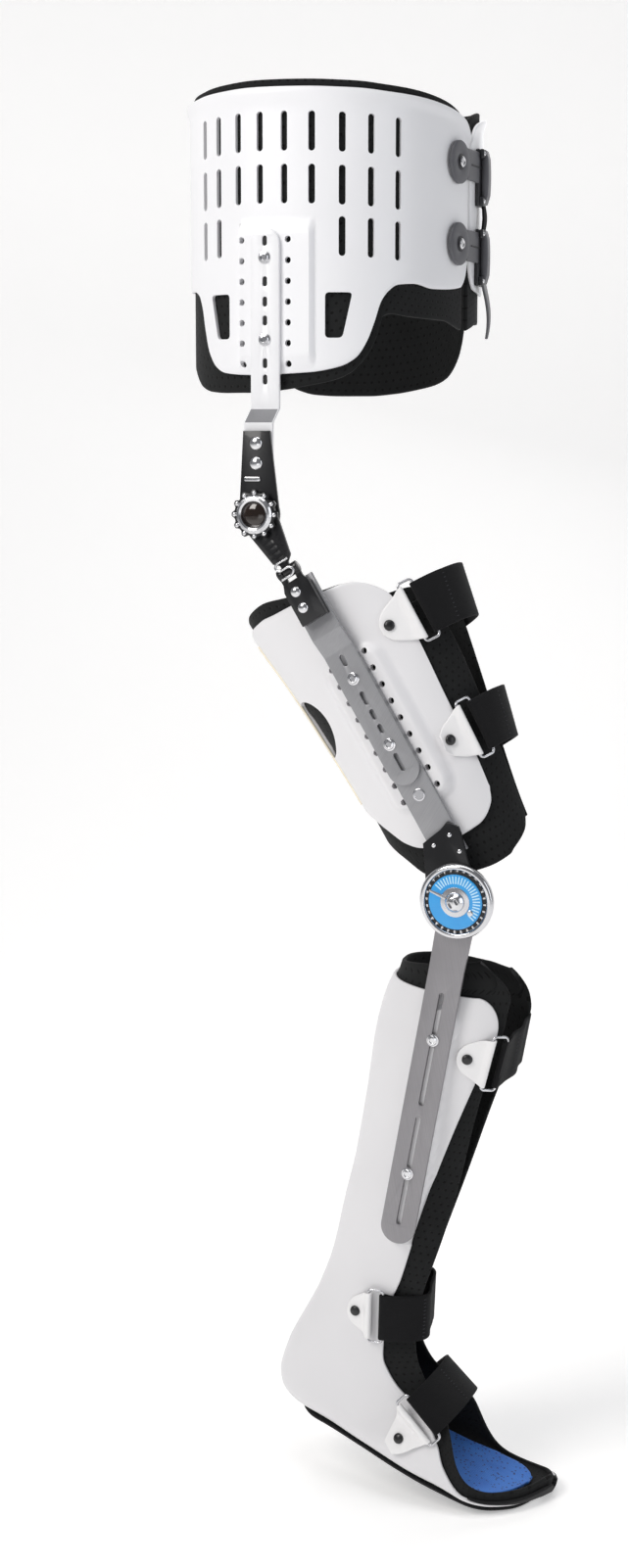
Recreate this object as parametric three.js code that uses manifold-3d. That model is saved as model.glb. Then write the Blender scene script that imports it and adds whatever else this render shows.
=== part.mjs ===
// A hip knee ankle foot orthosis for the right leg, worn: pelvic shells, hip hinge,
// thigh cuff, knee dial and a leg shell with foot plate, joined by flat bars.
// Millimetres. +X points forwards, +Y to the wearer's left, +Z up.
// The origin is the middle of the pelvic ring.
import * as THREE from 'three';
import Module from 'manifold-3d';
import { mergeVertices } from 'three/addons/utils/BufferGeometryUtils.js';

const wasm = await Module();
wasm.setup();

// Fits and walls
const fit = 0.3;
const pelvicWall = 3;
const cuffWall = 3;
const legWall = 3;
const linerWall = 4;
const barThick = 3.5;
const plateThick = 4;

// Pelvic ring
const pelvisDepth = 236;
const pelvisWidth = 280;
const pelvisSquareness = 2.3;
const beltAbove = 98;
const beltBelow = 126;
const rimFlare = 2.5;
const slotLength = 31;
const slotWidth = 5.5;
const slotRowPitch = 41;
const padWidth = 70;
const padRise = 1.6;
const laceSpread = 40;
const lacePitch = 16.4;
const laceHole = 5;
const backStrapWidth = 38;

// Front closures
const discRadius = 17.5;
const closureThick = 3;
const closureArm = 24;
const buckleHeight = 46;
const buckleDepth = 9;
const closureUp = 47;
const closureDown = -19;

// Hip bar and hip hinge
const hipAhead = -5;
const hipDrop = 239;
const hipBarWidth = 25;
const hipBarTop = -11;
const hipBolts = [-34, -99];
const hingeRadius = 20;
const linkWidth = 17;
const knuckleDrop = 53;
const knuckleRadius = 5;

// Thigh cuff, in the thigh's own frame: X ahead, Z up along the bar, hip at the origin
const thighAngle = 31.1;
const thighLength = 352;
const kneeBack = 13;
const legSide = 144;
const thighDepth = 180;
const thighWidth = 140;
const cuffTop = 78;
const cuffBottom = thighLength - 46;
const channelRise = 3.5;
const channelWidth = 62;
const channelTop = 130;
const channelBottom = cuffBottom - 32;
const thighBarWidth = 28;
const upperBarEnd = thighLength - 101;
const thighBolts = [0.211, 0.707];
const thighLacePitch = 15.4;
const thighLaceSpread = 33;

// Knee dial
const dialRadius = 31;
const dialDepth = 7;
const kneePlateTop = thighLength - 60;
const kneePlateWidth = 34;

// Leg shell and foot plate, in the shank's own frame: knee at the origin
const shankAngle = 10.3;
const kneeToSole = 500;
const footLength = 250;
const legWidth = 116;
const shankBarWidth = 30;
const shankBarLength = 304;
const shankSlotWidth = 3.4;
const shankBolts = [122, 241];

// Straps, wire loops and tabs
const strapThick = 3;
const wire = 1.5;
const eyeWall = 1.6;
const loopReach = 13;
const tabThick = 2;
const rivetRadius = 4.5;
const rivetHeight = 2.4;
const boltRadius = 4;
const boltHeight = 2.4;

// Layers outwards from the leg's side, each resting on the one before it
const padFace = legSide + channelRise;
const lowerBar = [padFace + fit, padFace + fit + barThick];
const upperBar = [lowerBar[1] + fit, lowerBar[1] + fit + barThick];
const hingeStep = 4.6;
const hingeBar = [upperBar[0] + hingeStep, upperBar[1] + hingeStep];
const hipPlate = [hingeBar[1] + fit, hingeBar[1] + fit + plateThick];
const linkLayer = [hipPlate[1] + fit, hipPlate[1] + fit + plateThick];
const kneePlate = [lowerBar[1] + fit, lowerBar[1] + fit + plateThick];

const colours = {
  shell: [0xe9e9ec, 0.35, 0],
  liner: [0x141416, 0.9, 0],
  strap: [0x0e0e10, 0.95, 0],
  closure: [0x55555a, 0.5, 0],
  whiteBar: [0xe4e4e6, 0.4, 0.2],
  bar: [0x9c9ca0, 0.35, 0.9],
  plate: [0x1b1b1e, 0.4, 0.6],
  chrome: [0xd6d6da, 0.15, 1],
  black: [0x101012, 0.5, 0],
  dial: [0x2e9fe6, 0.35, 0],
  insole: [0x2c62b8, 0.8, 0],
};

const radians = (degrees) => (degrees * Math.PI) / 180;
const mix = (a, b, share) => a + (b - a) * share;

// Reads one column of a table at any place between its rows.
function along(rows, key, value) {
  return (place) => {
    let row = 0;
    while (row < rows.length - 2 && place > rows[row + 1][key]) row += 1;
    const [low, high] = [rows[row], rows[row + 1]];
    const share = Math.min(Math.max((place - low[key]) / (high[key] - low[key]), 0), 1);
    return mix(low[value], high[value], share);
  };
}

// Turns rows of numbers into objects with the column names.
const table = (columns, rows) =>
  rows.map((row) => Object.fromEntries(columns.map((name, index) => [name, row[index]])));

function volumeOf(position, index) {
  let volume = 0;
  const [a, b, c] = [new THREE.Vector3(), new THREE.Vector3(), new THREE.Vector3()];
  for (let i = 0; i < index.length; i += 3) {
    a.fromArray(position, 3 * index[i]);
    b.fromArray(position, 3 * index[i + 1]);
    c.fromArray(position, 3 * index[i + 2]);
    volume += a.dot(b.cross(c));
  }
  return volume;
}

// A closed wall between two skins, each given as a function of column and row.
function wall(columns, rows, outside, inside) {
  const position = [];
  for (const skin of [outside, inside]) {
    for (let i = 0; i <= columns; i += 1) {
      for (let j = 0; j <= rows; j += 1) position.push(...skin(i, j));
    }
  }
  const half = (columns + 1) * (rows + 1);
  const at = (i, j) => i * (rows + 1) + j;
  const index = [];
  const quad = (a, b, c, d) => index.push(a, b, c, a, c, d);
  for (let i = 0; i < columns; i += 1) {
    for (let j = 0; j < rows; j += 1) {
      quad(at(i, j), at(i + 1, j), at(i + 1, j + 1), at(i, j + 1));
      quad(half + at(i, j), half + at(i, j + 1), half + at(i + 1, j + 1), half + at(i + 1, j));
    }
  }
  for (let i = 0; i < columns; i += 1) {
    quad(at(i, 0), half + at(i, 0), half + at(i + 1, 0), at(i + 1, 0));
    quad(at(i + 1, rows), half + at(i + 1, rows), half + at(i, rows), at(i, rows));
  }
  for (let j = 0; j < rows; j += 1) {
    quad(at(0, j + 1), half + at(0, j + 1), half + at(0, j), at(0, j));
    quad(at(columns, j), half + at(columns, j), half + at(columns, j + 1), at(columns, j + 1));
  }
  if (volumeOf(position, index) < 0) index.reverse();
  const geometry = new THREE.BufferGeometry();
  geometry.setAttribute('position', new THREE.Float32BufferAttribute(position, 3));
  geometry.setIndex(index);
  return geometry;
}

function solid(geometry) {
  const bare = geometry.clone();
  bare.deleteAttribute('normal');
  bare.deleteAttribute('uv');
  const merged = mergeVertices(bare, 1e-4);
  return new wasm.Manifold(new wasm.Mesh({
    numProp: 3,
    vertProperties: new Float32Array(merged.attributes.position.array),
    triVerts: new Uint32Array(merged.index.array),
  }));
}

function geometryOf(body) {
  const mesh = body.getMesh();
  const geometry = new THREE.BufferGeometry();
  geometry.setAttribute('position', new THREE.Float32BufferAttribute(mesh.vertProperties, 3));
  geometry.setIndex(Array.from(mesh.triVerts));
  return geometry;
}

const cut = (body, tools) => tools.reduce((rest, tool) => rest.subtract(tool), body);
const joined = (bodies) => bodies.reduce((whole, body) => whole.add(body));

// Places a geometry with its own X, Y and Z along three given directions.
function placed(geometry, origin, x, y, z) {
  const basis = new THREE.Matrix4().makeBasis(x, y, z).setPosition(origin);
  return geometry.applyMatrix4(basis);
}

const forwards = new THREE.Vector3(1, 0, 0);
const inwards = new THREE.Vector3(0, 1, 0);
const upwards = new THREE.Vector3(0, 0, 1);

// An outline in X and Z, drawn as X and Y of a shape, made thick between two side layers.
function sidePlate(shape, layer, segments = 5) {
  const depth = layer[1] - layer[0];
  const steps = { depth, bevelEnabled: false, curveSegments: segments };
  const geometry = new THREE.ExtrudeGeometry(shape, steps);
  return placed(geometry, new THREE.Vector3(0, -layer[0], 0), forwards, upwards, inwards.clone().negate());
}

// A rounded bar outline from one height to another.
function barShape(width, low, high, roundLow, roundHigh, middle = 0) {
  const half = width / 2;
  const shape = new THREE.Shape();
  if (roundLow) shape.absarc(middle, low + half, half, Math.PI, 2 * Math.PI, false);
  else {
    shape.moveTo(middle - half, low);
    shape.lineTo(middle + half, low);
  }
  if (roundHigh) shape.absarc(middle, high - half, half, 0, Math.PI, false);
  else {
    shape.lineTo(middle + half, high);
    shape.lineTo(middle - half, high);
  }
  shape.closePath();
  return shape;
}

function stadium(width, length, Path = THREE.Path, x = 0, y = 0) {
  const half = width / 2;
  const reach = Math.max(length / 2 - half, 0);
  const path = new Path();
  path.absarc(x, y - reach, half, Math.PI, 2 * Math.PI, false);
  path.absarc(x, y + reach, half, 0, Math.PI, false);
  path.closePath();
  return path;
}

function oblong(width, length) {
  const corners = [[-1, -1], [1, -1], [1, 1], [-1, 1]];
  return new THREE.Shape(corners.map(([x, y]) => new THREE.Vector2((x * width) / 2, (y * length) / 2)));
}

function circle(radius, Path = THREE.Path, x = 0, y = 0) {
  const path = new Path();
  path.absarc(x, y, radius, 0, 2 * Math.PI, false);
  return path;
}

// A turned piece whose axis points out of the leg's side.
function turned(profile, sides, ahead, out, height) {
  const points = profile.map(([radius, rise]) => new THREE.Vector2(radius, rise));
  const geometry = new THREE.LatheGeometry(points, sides);
  const outwards = inwards.clone().negate();
  return placed(geometry, new THREE.Vector3(ahead, -out, height), upwards, outwards, forwards);
}

const dome = (radius, height) => [[0, 0], [radius, 0], [0.75 * radius, height], [0, height]];

function piece(name, geometry, colour, group) {
  const [color, roughness, metalness] = colours[colour];
  const material = new THREE.MeshStandardMaterial({ color, roughness, metalness });
  const mesh = new THREE.Mesh(geometry, material);
  mesh.name = name;
  group.add(mesh);
}

const pelvis = new THREE.Group();
const thigh = new THREE.Group();
thigh.position.set(hipAhead, 0, -hipDrop);
thigh.rotation.y = -radians(thighAngle);
const shank = new THREE.Group();
shank.position.set(-kneeBack, 0, -thighLength);
shank.rotation.y = radians(thighAngle + shankAngle);
thigh.add(shank);
pelvis.add(thigh);

// Pelvic ring: a squarish oval, measured by the length round it from the front middle.
const ringSteps = 240;
const ring = (() => {
  const power = -1 / pelvisSquareness;
  const point = (angle) => {
    const [c, s] = [Math.cos(angle), Math.sin(angle)];
    const side = Math.abs((2 * c) / pelvisDepth) ** pelvisSquareness;
    const other = Math.abs((2 * s) / pelvisWidth) ** pelvisSquareness;
    const reach = (side + other) ** power;
    return [reach * c, -reach * s];
  };
  const rows = [];
  let length = 0;
  let last = point(0);
  for (let step = 0; step <= ringSteps; step += 1) {
    const angle = (Math.PI * step) / ringSteps;
    const next = point(angle);
    length += Math.hypot(next[0] - last[0], next[1] - last[1]);
    rows.push({ length, angle });
    last = next;
  }
  const angleAt = along(rows, 'length', 'angle');
  const halfGirth = length;
  // A point at a length round the ring, moved outwards, at a height.
  const at = (round, out, height) => {
    const [x, y] = point(angleAt(round));
    const nx = Math.sign(x) * Math.abs(x) ** (pelvisSquareness - 1) / (pelvisDepth / 2) ** pelvisSquareness;
    const ny = Math.sign(y) * Math.abs(y) ** (pelvisSquareness - 1) / (pelvisWidth / 2) ** pelvisSquareness;
    const size = Math.hypot(nx, ny);
    return [x + (out * nx) / size, y + (out * ny) / size, height];
  };
  const normal = (round) => {
    const [a, b] = [at(round, 0, 0), at(round, 1, 0)];
    return new THREE.Vector3(b[0] - a[0], b[1] - a[1], 0);
  };
  return { at, normal, halfGirth };
})();

// Shell outline: place round the ring as a share of half its girth, the lower edge and the
// upper edge as shares of the shell's reach below and above the origin.
const shellOutline = table(['round', 'low', 'high'], [
  [0.008, -0.24, 0.71],
  [0.022, -0.36, 0.79],
  [0.045, -0.42, 0.84],
  [0.156, -0.445, 0.92],
  [0.21, -0.42, 0.94],
  [0.25, -0.43, 0.95],
  [0.271, -0.47, 0.955],
  [0.288, -0.54, 0.96],
  [0.302, -0.67, 0.965],
  [0.317, -0.79, 0.97],
  [0.338, -0.89, 0.975],
  [0.372, -0.95, 0.98],
  [0.432, -0.985, 0.99],
  [0.552, -1, 1],
  [0.619, -0.985, 0.99],
  [0.648, -0.94, 0.985],
  [0.669, -0.85, 0.98],
  [0.684, -0.71, 0.975],
  [0.696, -0.57, 0.97],
  [0.715, -0.48, 0.965],
  [0.745, -0.45, 0.96],
  [0.86, -0.44, 0.93],
  [0.9, -0.42, 0.9],
  [0.915, -0.36, 0.83],
]);

// The liner's lower edge as a share of the shell's reach below the origin.
const linerOutline = table(['round', 'low'], [
  [0.02, -0.69],
  [0.05, -0.67],
  [0.1, -0.64],
  [0.156, -0.635],
  [0.22, -0.625],
  [0.26, -0.61],
  [0.28, -0.63],
  [0.293, -0.75],
  [0.306, -0.84],
  [0.325, -0.92],
  [0.348, -0.985],
  [0.38, -1.03],
  [0.432, -1.065],
  [0.492, -1.095],
  [0.552, -1.11],
  [0.62, -1.11],
  [0.68, -1.1],
  [0.72, -1.07],
  [0.775, -0.98],
  [0.84, -0.89],
  [0.9, -0.8],
  [0.94, -0.76],
]);

const beltShares = [0, 0.6, 0.95, 1];
const beltLinerAbove = 6;

function beltWall(rounds, rows, height, outer, thick, flare) {
  const skin = (depth) => (i, j) =>
    ring.at(rounds[i] * ring.halfGirth, depth + flare(j), height(rounds[i], j));
  return wall(rounds.length - 1, rows, skin(outer), skin(outer - thick));
}

const shellLow = (round) => along(shellOutline, 'round', 'low')(round) * beltBelow;
const shellHigh = (round) => along(shellOutline, 'round', 'high')(round) * beltAbove;

// A cutter through the pelvic shell at a length round the ring and a height.
function beltCutter(shape, round, height) {
  const depth = 8 * pelvicWall;
  const geometry = new THREE.ExtrudeGeometry(shape, { depth, bevelEnabled: false, curveSegments: 1 });
  const out = ring.normal(round);
  const side = new THREE.Vector3().crossVectors(upwards, out);
  const from = new THREE.Vector3(...ring.at(round, -depth / 2, height));
  return solid(placed(geometry, from, side, upwards, out));
}

// Slot columns, as shares of half the girth from the front middle.
const slotPlaces = [0.252, 0.31, 0.367, 0.426, 0.481, 0.532, 0.581, 0.633, 0.68];
const slotRows = [
  { below: 33, skips: [] },
  { below: 33 + slotRowPitch, skips: [] },
  { below: 33 + 2 * slotRowPitch - 1, skips: [3, 4, 5, 6] },
];

function slotCutters() {
  const cutters = [];
  slotPlaces.forEach((place, column) => {
    for (const row of slotRows) {
      if (row.skips.includes(column)) continue;
      const slot = oblong(slotWidth, slotLength);
      cutters.push(beltCutter(slot, place * ring.halfGirth, shellHigh(place) - row.below));
    }
  });
  return cutters;
}

// The windows low in the shell, each with one upright side and one that slants.
const windowTop = -62;
const windowDrop = 36;
const windowWide = 22;
const windowNarrow = 14;
const windowPlaces = [0.4, 0.605];

function windowCutters() {
  return windowPlaces.map((place, index) => {
    const hand = index === 0 ? 1 : -1;
    const shape = new THREE.Shape();
    shape.moveTo(0, 0);
    shape.lineTo(hand * windowWide, 0);
    shape.lineTo(hand * windowNarrow, -windowDrop);
    shape.lineTo(0, -windowDrop);
    return beltCutter(shape, place * ring.halfGirth, windowTop);
  });
}

const laceCount = 7;
const laceTop = -20;
const barMiddle = hipAhead - 2;

function laceCutters() {
  const cutters = [];
  const middle = 0.52 * ring.halfGirth;
  for (const side of [-1, 1]) {
    for (let hole = 0; hole < laceCount; hole += 1) {
      const round = middle + (side * laceSpread) / 2;
      const shape = new THREE.Shape(circle(laceHole / 2).getPoints(2).slice(0, 4));
      cutters.push(beltCutter(shape, round, laceTop - hole * lacePitch));
    }
  }
  return cutters;
}

// The flat raised pad that carries the hip bar.
const pelvicPadFace = pelvisWidth / 2 + padRise;
const padTop = -4;
function pelvicPad() {
  const middle = 0.5 * ring.halfGirth;
  const across = 6;
  const roundAt = (i) => middle + (i / across - 0.5) * padWidth;
  const low = (i) => shellLow(roundAt(i) / ring.halfGirth) + 3;
  const height = (i, j) => mix(low(i), padTop, j);
  const inner = (i, j) => ring.at(roundAt(i), -pelvicWall / 2, height(i, j));
  const outer = (i, j) => [inner(i, j)[0], -pelvicPadFace, height(i, j)];
  return solid(wall(across, 1, outer, inner));
}

function pelvicShell(withPad) {
  const rounds = shellOutline.map((row) => row.round);
  const last = beltShares.length - 1;
  const height = (round, j) => mix(shellLow(round), shellHigh(round), beltShares[j]);
  let body = solid(beltWall(rounds, last, height, 0, pelvicWall, (j) => (j === last ? rimFlare : 0)));
  if (withPad) body = body.add(pelvicPad());
  body = cut(body, [...slotCutters(), ...windowCutters()]);
  return withPad ? cut(body, laceCutters()) : body;
}

function pelvicLiner() {
  const low = (round) => along(linerOutline, 'round', 'low')(round) * beltBelow;
  const rounds = [...shellOutline.slice(1).map((row) => row.round), 0.94];
  const rise = (round) => mix(low(round), shellHigh(round), 0.5);
  const heights = (round) => [low(round), rise(round), shellHigh(round) + beltLinerAbove];
  const height = (round, j) => heights(round)[j];
  return beltWall(rounds, 2, height, -pelvicWall - fit, linerWall, () => 0);
}

// The same piece for the other side of the body.
function mirrored(geometry) {
  const copy = geometry.clone();
  copy.scale(1, -1, 1);
  copy.index.array.reverse();
  return copy;
}

const rightShell = geometryOf(pelvicShell(true));
piece('pelvic_shell_right', rightShell, 'shell', pelvis);
piece('pelvic_shell_left', mirrored(geometryOf(pelvicShell(false))), 'shell', pelvis);
const rightLiner = pelvicLiner();
piece('pelvic_liner_right', rightLiner, 'liner', pelvis);
piece('pelvic_liner_left', mirrored(rightLiner), 'liner', pelvis);

// A band round the ring between two places, outside the shells; a place past half the girth
// or before zero lies on the left side.
function ringPoint(round, out, height) {
  const whole = ring.halfGirth;
  if (round < 0) {
    const [x, y, z] = ring.at(-round, out, height);
    return [x, -y, z];
  }
  if (round > whole) {
    const [x, y, z] = ring.at(2 * whole - round, out, height);
    return [x, -y, z];
  }
  return ring.at(round, out, height);
}

function ringBand(from, to, steps, out, thick, low, high) {
  const place = (i) => mix(from, to, i / steps);
  const skin = (depth) => (i, j) => ringPoint(place(i), depth, j === 0 ? low : high);
  return wall(steps, 1, skin(out + thick), skin(out));
}

const backStraps = { back_strap_upper: 40, back_strap_lower: -18 };
for (const [name, height] of Object.entries(backStraps)) {
  const reach = 0.87 * ring.halfGirth;
  const half = backStrapWidth / 2;
  const end = 2 * ring.halfGirth - reach;
  const band = ringBand(reach, end, 10, fit, strapThick - 1, height - half, height + half);
  piece(name, band, 'strap', pelvis);
}

// Front closures: a disc and arm on the right shell, a buckle on the left shell's edge.
const discRound = 30;
const armEnd = -16;
const buckleEnd = -34;
const buckleSteps = 3;

function ladderStrap(height) {
  const out = ring.normal(discRound);
  const side = new THREE.Vector3().crossVectors(upwards, out);
  const depth = closureThick;
  const discSteps = { depth, bevelEnabled: false, curveSegments: 10 };
  const disc = new THREE.ExtrudeGeometry(circle(discRadius, THREE.Shape), discSteps);
  const base = new THREE.Vector3(...ring.at(discRound, fit + 1.2, height));
  const plate = solid(placed(disc, base, side, upwards, out));
  const half = closureArm / 2;
  const arm = ringBand(armEnd, discRound, 5, fit + 0.6, closureThick, height - half, height + half);
  const holeSteps = { depth: 6 * depth, bevelEnabled: false, curveSegments: 4 };
  const hole = new THREE.ExtrudeGeometry(circle(3, THREE.Shape), holeSteps);
  const from = new THREE.Vector3(...ring.at(discRound, -3 * depth, height));
  return geometryOf(plate.add(solid(arm)).subtract(solid(placed(hole, from, side, upwards, out))));
}

function closureBuckle(height) {
  const half = buckleHeight / 2;
  const middle = height - 8;
  const low = middle - half;
  return ringBand(buckleEnd, armEnd - fit, buckleSteps, fit, buckleDepth, low, low + buckleHeight);
}

function closureRivet(height) {
  const out = ring.normal(discRound);
  const side = new THREE.Vector3().crossVectors(upwards, out);
  const profile = [[0, 0], [2.4, 0], [2.4, 4.8], [5, 4.8], [4.2, 6.4], [0, 6.4]];
  const points = profile.map(([radius, rise]) => new THREE.Vector2(radius, rise));
  const geometry = new THREE.LatheGeometry(points, 8);
  const from = new THREE.Vector3(...ring.at(discRound, fit, height));
  return placed(geometry, from, side, out, upwards.clone().negate());
}

for (const [place, height] of [['upper', closureUp], ['lower', closureDown]]) {
  piece(`ladder_strap_${place}`, ladderStrap(height), 'closure', pelvis);
  piece(`closure_buckle_${place}`, closureBuckle(height), 'closure', pelvis);
  piece(`closure_rivet_${place}`, closureRivet(height), 'chrome', pelvis);
}

// A side bar with a step in it: rows of height and the layer's inner face, top to bottom.
function steppedBar(rows, width, roundTop, roundBottom) {
  const half = width / 2;
  const corner = 5;
  const places = [];
  const top = rows[0];
  const bottom = rows[rows.length - 1];
  const cap = (end, direction) => {
    for (let step = 0; step < corner; step += 1) {
      const angle = (Math.PI / 2) * (step / corner);
      const share = Math.sin(angle);
      places.push([end[0] + direction * half * (1 - Math.cos(angle)), end[1], Math.max(share, 0.05)]);
    }
  };
  if (roundTop) cap(top, -1);
  places.push([top[0] - (roundTop ? half : 0), top[1], 1]);
  for (const row of rows.slice(1, -1)) places.push([row[0], row[1], 1]);
  places.push([bottom[0] + (roundBottom ? half : 0), bottom[1], 1]);
  if (roundBottom) {
    const start = places.length;
    cap(bottom, 1);
    places.push(...places.splice(start).reverse());
  }
  const skin = (depth) => (i, j) =>
    [(j === 0 ? -1 : 1) * half * places[i][2], -places[i][1] - depth, places[i][0]];
  return wall(places.length - 1, 1, skin(barThick), skin(0));
}

function sideCutter(shape, ahead, height, layer) {
  const geometry = sidePlate(shape, [layer[0] - barThick, layer[1] + barThick], 1);
  geometry.translate(ahead, 0, height);
  return solid(geometry);
}

// Hip bar on the pelvic pad, stepped out below the shell to the hinge.
const hipBarFace = pelvicPadFace + fit;
const hipStepTop = -154;
const hipStepDrop = 12;
const hipBarBottom = -206;
const hipBarHoles = [-21, -53, -69, -84, -118, -131];
const barHole = 4;

function hipBar() {
  const rows = [
    [hipBarTop, hipBarFace],
    [hipStepTop, hipBarFace],
    [hipStepTop - hipStepDrop, hingeBar[0]],
    [hipBarBottom, hingeBar[0]],
  ];
  const body = solid(steppedBar(rows, hipBarWidth, true, false));
  const layer = [hipBarFace, hipBarFace + barThick];
  const holes = hipBarHoles.map((height) =>
    sideCutter(stadium(barHole, 2 * barHole, THREE.Shape), 0, height, layer));
  return geometryOf(cut(body, holes)).translate(barMiddle, 0, 0);
}

piece('hip_bar', hipBar(), 'whiteBar', pelvis);
hipBolts.forEach((height, index) => {
  const bolt = turned(dome(boltRadius, boltHeight), 8, barMiddle, hipBarFace + barThick + fit, height);
  piece(`hip_bar_bolt_${index + 1}`, bolt, 'chrome', pelvis);
});

// Hinge plate on the bar's lower end, with a round head at the hip's axis.
const hipPlateTop = -172;
const hipPinRadius = 5;

function hipUpperPlate() {
  const half = hipBarWidth / 2 - 1;
  const shape = new THREE.Shape();
  shape.moveTo(barMiddle + half, hipPlateTop);
  shape.lineTo(barMiddle - half, hipPlateTop);
  shape.absarc(hipAhead, -hipDrop, hingeRadius - 2, Math.PI * 0.9, Math.PI * 2.1, false);
  shape.closePath();
  return sidePlate(shape, hipPlate, 7);
}

// Toothed cover over the hinge, turning with the plate on its pin.
const hingeTeeth = 12;
const coverDepth = 7;
const coverBore = 9;

function hipHingeCover() {
  const shape = new THREE.Shape();
  for (let step = 0; step < 2 * hingeTeeth; step += 1) {
    const angle = (Math.PI * step) / hingeTeeth;
    const radius = step % 2 === 0 ? hingeRadius : hingeRadius - 2;
    shape[step === 0 ? 'moveTo' : 'lineTo'](radius * Math.cos(angle), radius * Math.sin(angle));
  }
  shape.closePath();
  const face = linkLayer[1] + fit;
  const body = solid(sidePlate(shape, [face, face + coverDepth]).translate(hipAhead, 0, -hipDrop));
  const dish = [[0, 0], [coverBore + 3, 0], [coverBore, -3], [0, -3]].reverse();
  const lens = solid(turned(dish, 12, hipAhead, face + coverDepth + 0.01, -hipDrop));
  const pin = solid(turned([[0, 0], [hipPinRadius, 0], [hipPinRadius, coverDepth], [0, coverDepth]],
    10, hipAhead, hipPlate[1] + fit, -hipDrop));
  return geometryOf(body.subtract(lens).add(pin));
}

piece('hip_upper_plate', hipUpperPlate(), 'plate', pelvis);
piece('hip_hinge_cover', hipHingeCover(), 'chrome', pelvis);

// Link: an eye on the hip's pin and an arm down to the side-swing knuckle.
const knuckleOut = linkLayer[0] + plateThick / 2;
const knuckleHalf = 4;
const knucklePin = 2.2;

function knuckle(radius, from, to, sides) {
  const profile = [[0, 0], [radius, 0], [radius, to - from], [0, to - from]];
  const points = profile.map(([r, rise]) => new THREE.Vector2(r, rise));
  const geometry = new THREE.LatheGeometry(points, sides);
  const at = new THREE.Vector3(from, -knuckleOut, -knuckleDrop);
  return solid(placed(geometry, at, inwards, forwards, upwards.clone().negate()));
}

function hipLink() {
  const half = linkWidth / 2;
  const shape = new THREE.Shape();
  shape.absarc(0, 0, hingeRadius - 3, -Math.PI * 0.15, Math.PI * 1.15, false);
  shape.lineTo(-half, -knuckleDrop + 2.2 * knuckleRadius);
  shape.lineTo(-knuckleHalf + fit, -knuckleDrop + 1.4 * knuckleRadius);
  shape.lineTo(-knuckleHalf + fit, -knuckleDrop);
  shape.lineTo(knuckleHalf - fit, -knuckleDrop);
  shape.lineTo(knuckleHalf - fit, -knuckleDrop + 1.4 * knuckleRadius);
  shape.lineTo(half, -knuckleDrop + 2.2 * knuckleRadius);
  shape.closePath();
  shape.holes.push(circle(hipPinRadius + fit));
  const arm = solid(sidePlate(shape, linkLayer, 6));
  const barrel = knuckle(knuckleRadius, -knuckleHalf + fit, knuckleHalf - fit, 10);
  const bore = knuckle(knucklePin + fit, -2 * knuckleHalf, 2 * knuckleHalf, 8);
  return geometryOf(arm.add(barrel).subtract(bore));
}

piece('hip_link', hipLink(), 'plate', thigh);

// Knuckle plate: two outer knuckles with their pin, and the plate riveted to the thigh bar.
const knucklePlateEnd = 98;
const knuckleSide = 9.5;

function knucklePlate() {
  const half = thighBarWidth / 2 - 2;
  const shape = new THREE.Shape();
  const gap = knuckleHalf + fit;
  const clear = -knuckleDrop - knuckleRadius - 3.2;
  shape.moveTo(-half, -knucklePlateEnd);
  shape.lineTo(half, -knucklePlateEnd);
  shape.lineTo(half, clear - 6);
  shape.lineTo(knuckleSide, clear);
  shape.lineTo(knuckleSide, -knuckleDrop);
  shape.lineTo(gap, -knuckleDrop);
  shape.lineTo(gap, clear);
  shape.lineTo(-gap, clear);
  shape.lineTo(-gap, -knuckleDrop);
  shape.lineTo(-knuckleSide, -knuckleDrop);
  shape.lineTo(-knuckleSide, clear);
  shape.lineTo(-half, clear - 6);
  shape.closePath();
  const offset = knuckleOut - (hipPlate[0] + plateThick / 2);
  const layer = [hipPlate[0], hipPlate[1] + offset];
  const upper = solid(sidePlate(shape, [knuckleOut - plateThick / 2, knuckleOut + plateThick / 2]));
  const foot = barShape(2 * half, -knucklePlateEnd, clear - 6, false, false);
  const pieces = [
    upper,
    solid(sidePlate(foot, layer)),
    knuckle(knuckleRadius, -knuckleSide, -gap, 10),
    knuckle(knuckleRadius, gap, knuckleSide, 10),
    knuckle(knucklePin, -knuckleSide + 1, knuckleSide - 1, 8),
  ];
  return geometryOf(joined(pieces));
}

piece('thigh_knuckle_plate', knucklePlate(), 'plate', thigh);

// Thigh bars: the upper one steps in from the hinge and lies flat on the lower one. Bolts,
// slots and the lower bar's top are at shares of that flat length.
const upperBarTop = -62;
const upperStepTop = -112;
const upperStepDrop = 16;
const upperSlots = [[0.073, 10], [0.358, 12], [0.48, 9], [0.585, 8], [0.837, 16]];
const onFlat = (share) => mix(upperStepDrop - upperStepTop, upperBarEnd, share);
const lowerBarTop = -onFlat(0.114);
const lowerBarBottom = 33 - thighLength;

function thighBarUpper() {
  const rows = [
    [upperBarTop, hingeBar[0]],
    [upperStepTop, hingeBar[0]],
    [upperStepTop - upperStepDrop, upperBar[0]],
    [-upperBarEnd, upperBar[0]],
  ];
  const body = solid(steppedBar(rows, thighBarWidth, false, true));
  const slots = upperSlots.map(([share, length]) =>
    sideCutter(stadium(barHole, length, THREE.Shape), 0, -onFlat(share), upperBar));
  return geometryOf(cut(body, slots));
}

piece('thigh_bar_upper', thighBarUpper(), 'bar', thigh);
const lowerBarShape = barShape(thighBarWidth, lowerBarBottom, lowerBarTop, false, false);
piece('thigh_bar_lower', sidePlate(lowerBarShape, lowerBar), 'bar', thigh);
thighBolts.forEach((share, index) => {
  const bolt = turned(dome(boltRadius, boltHeight), 8, 0, upperBar[1] + fit, -onFlat(share));
  piece(`thigh_bar_bolt_${index + 1}`, bolt, 'chrome', thigh);
});

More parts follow.
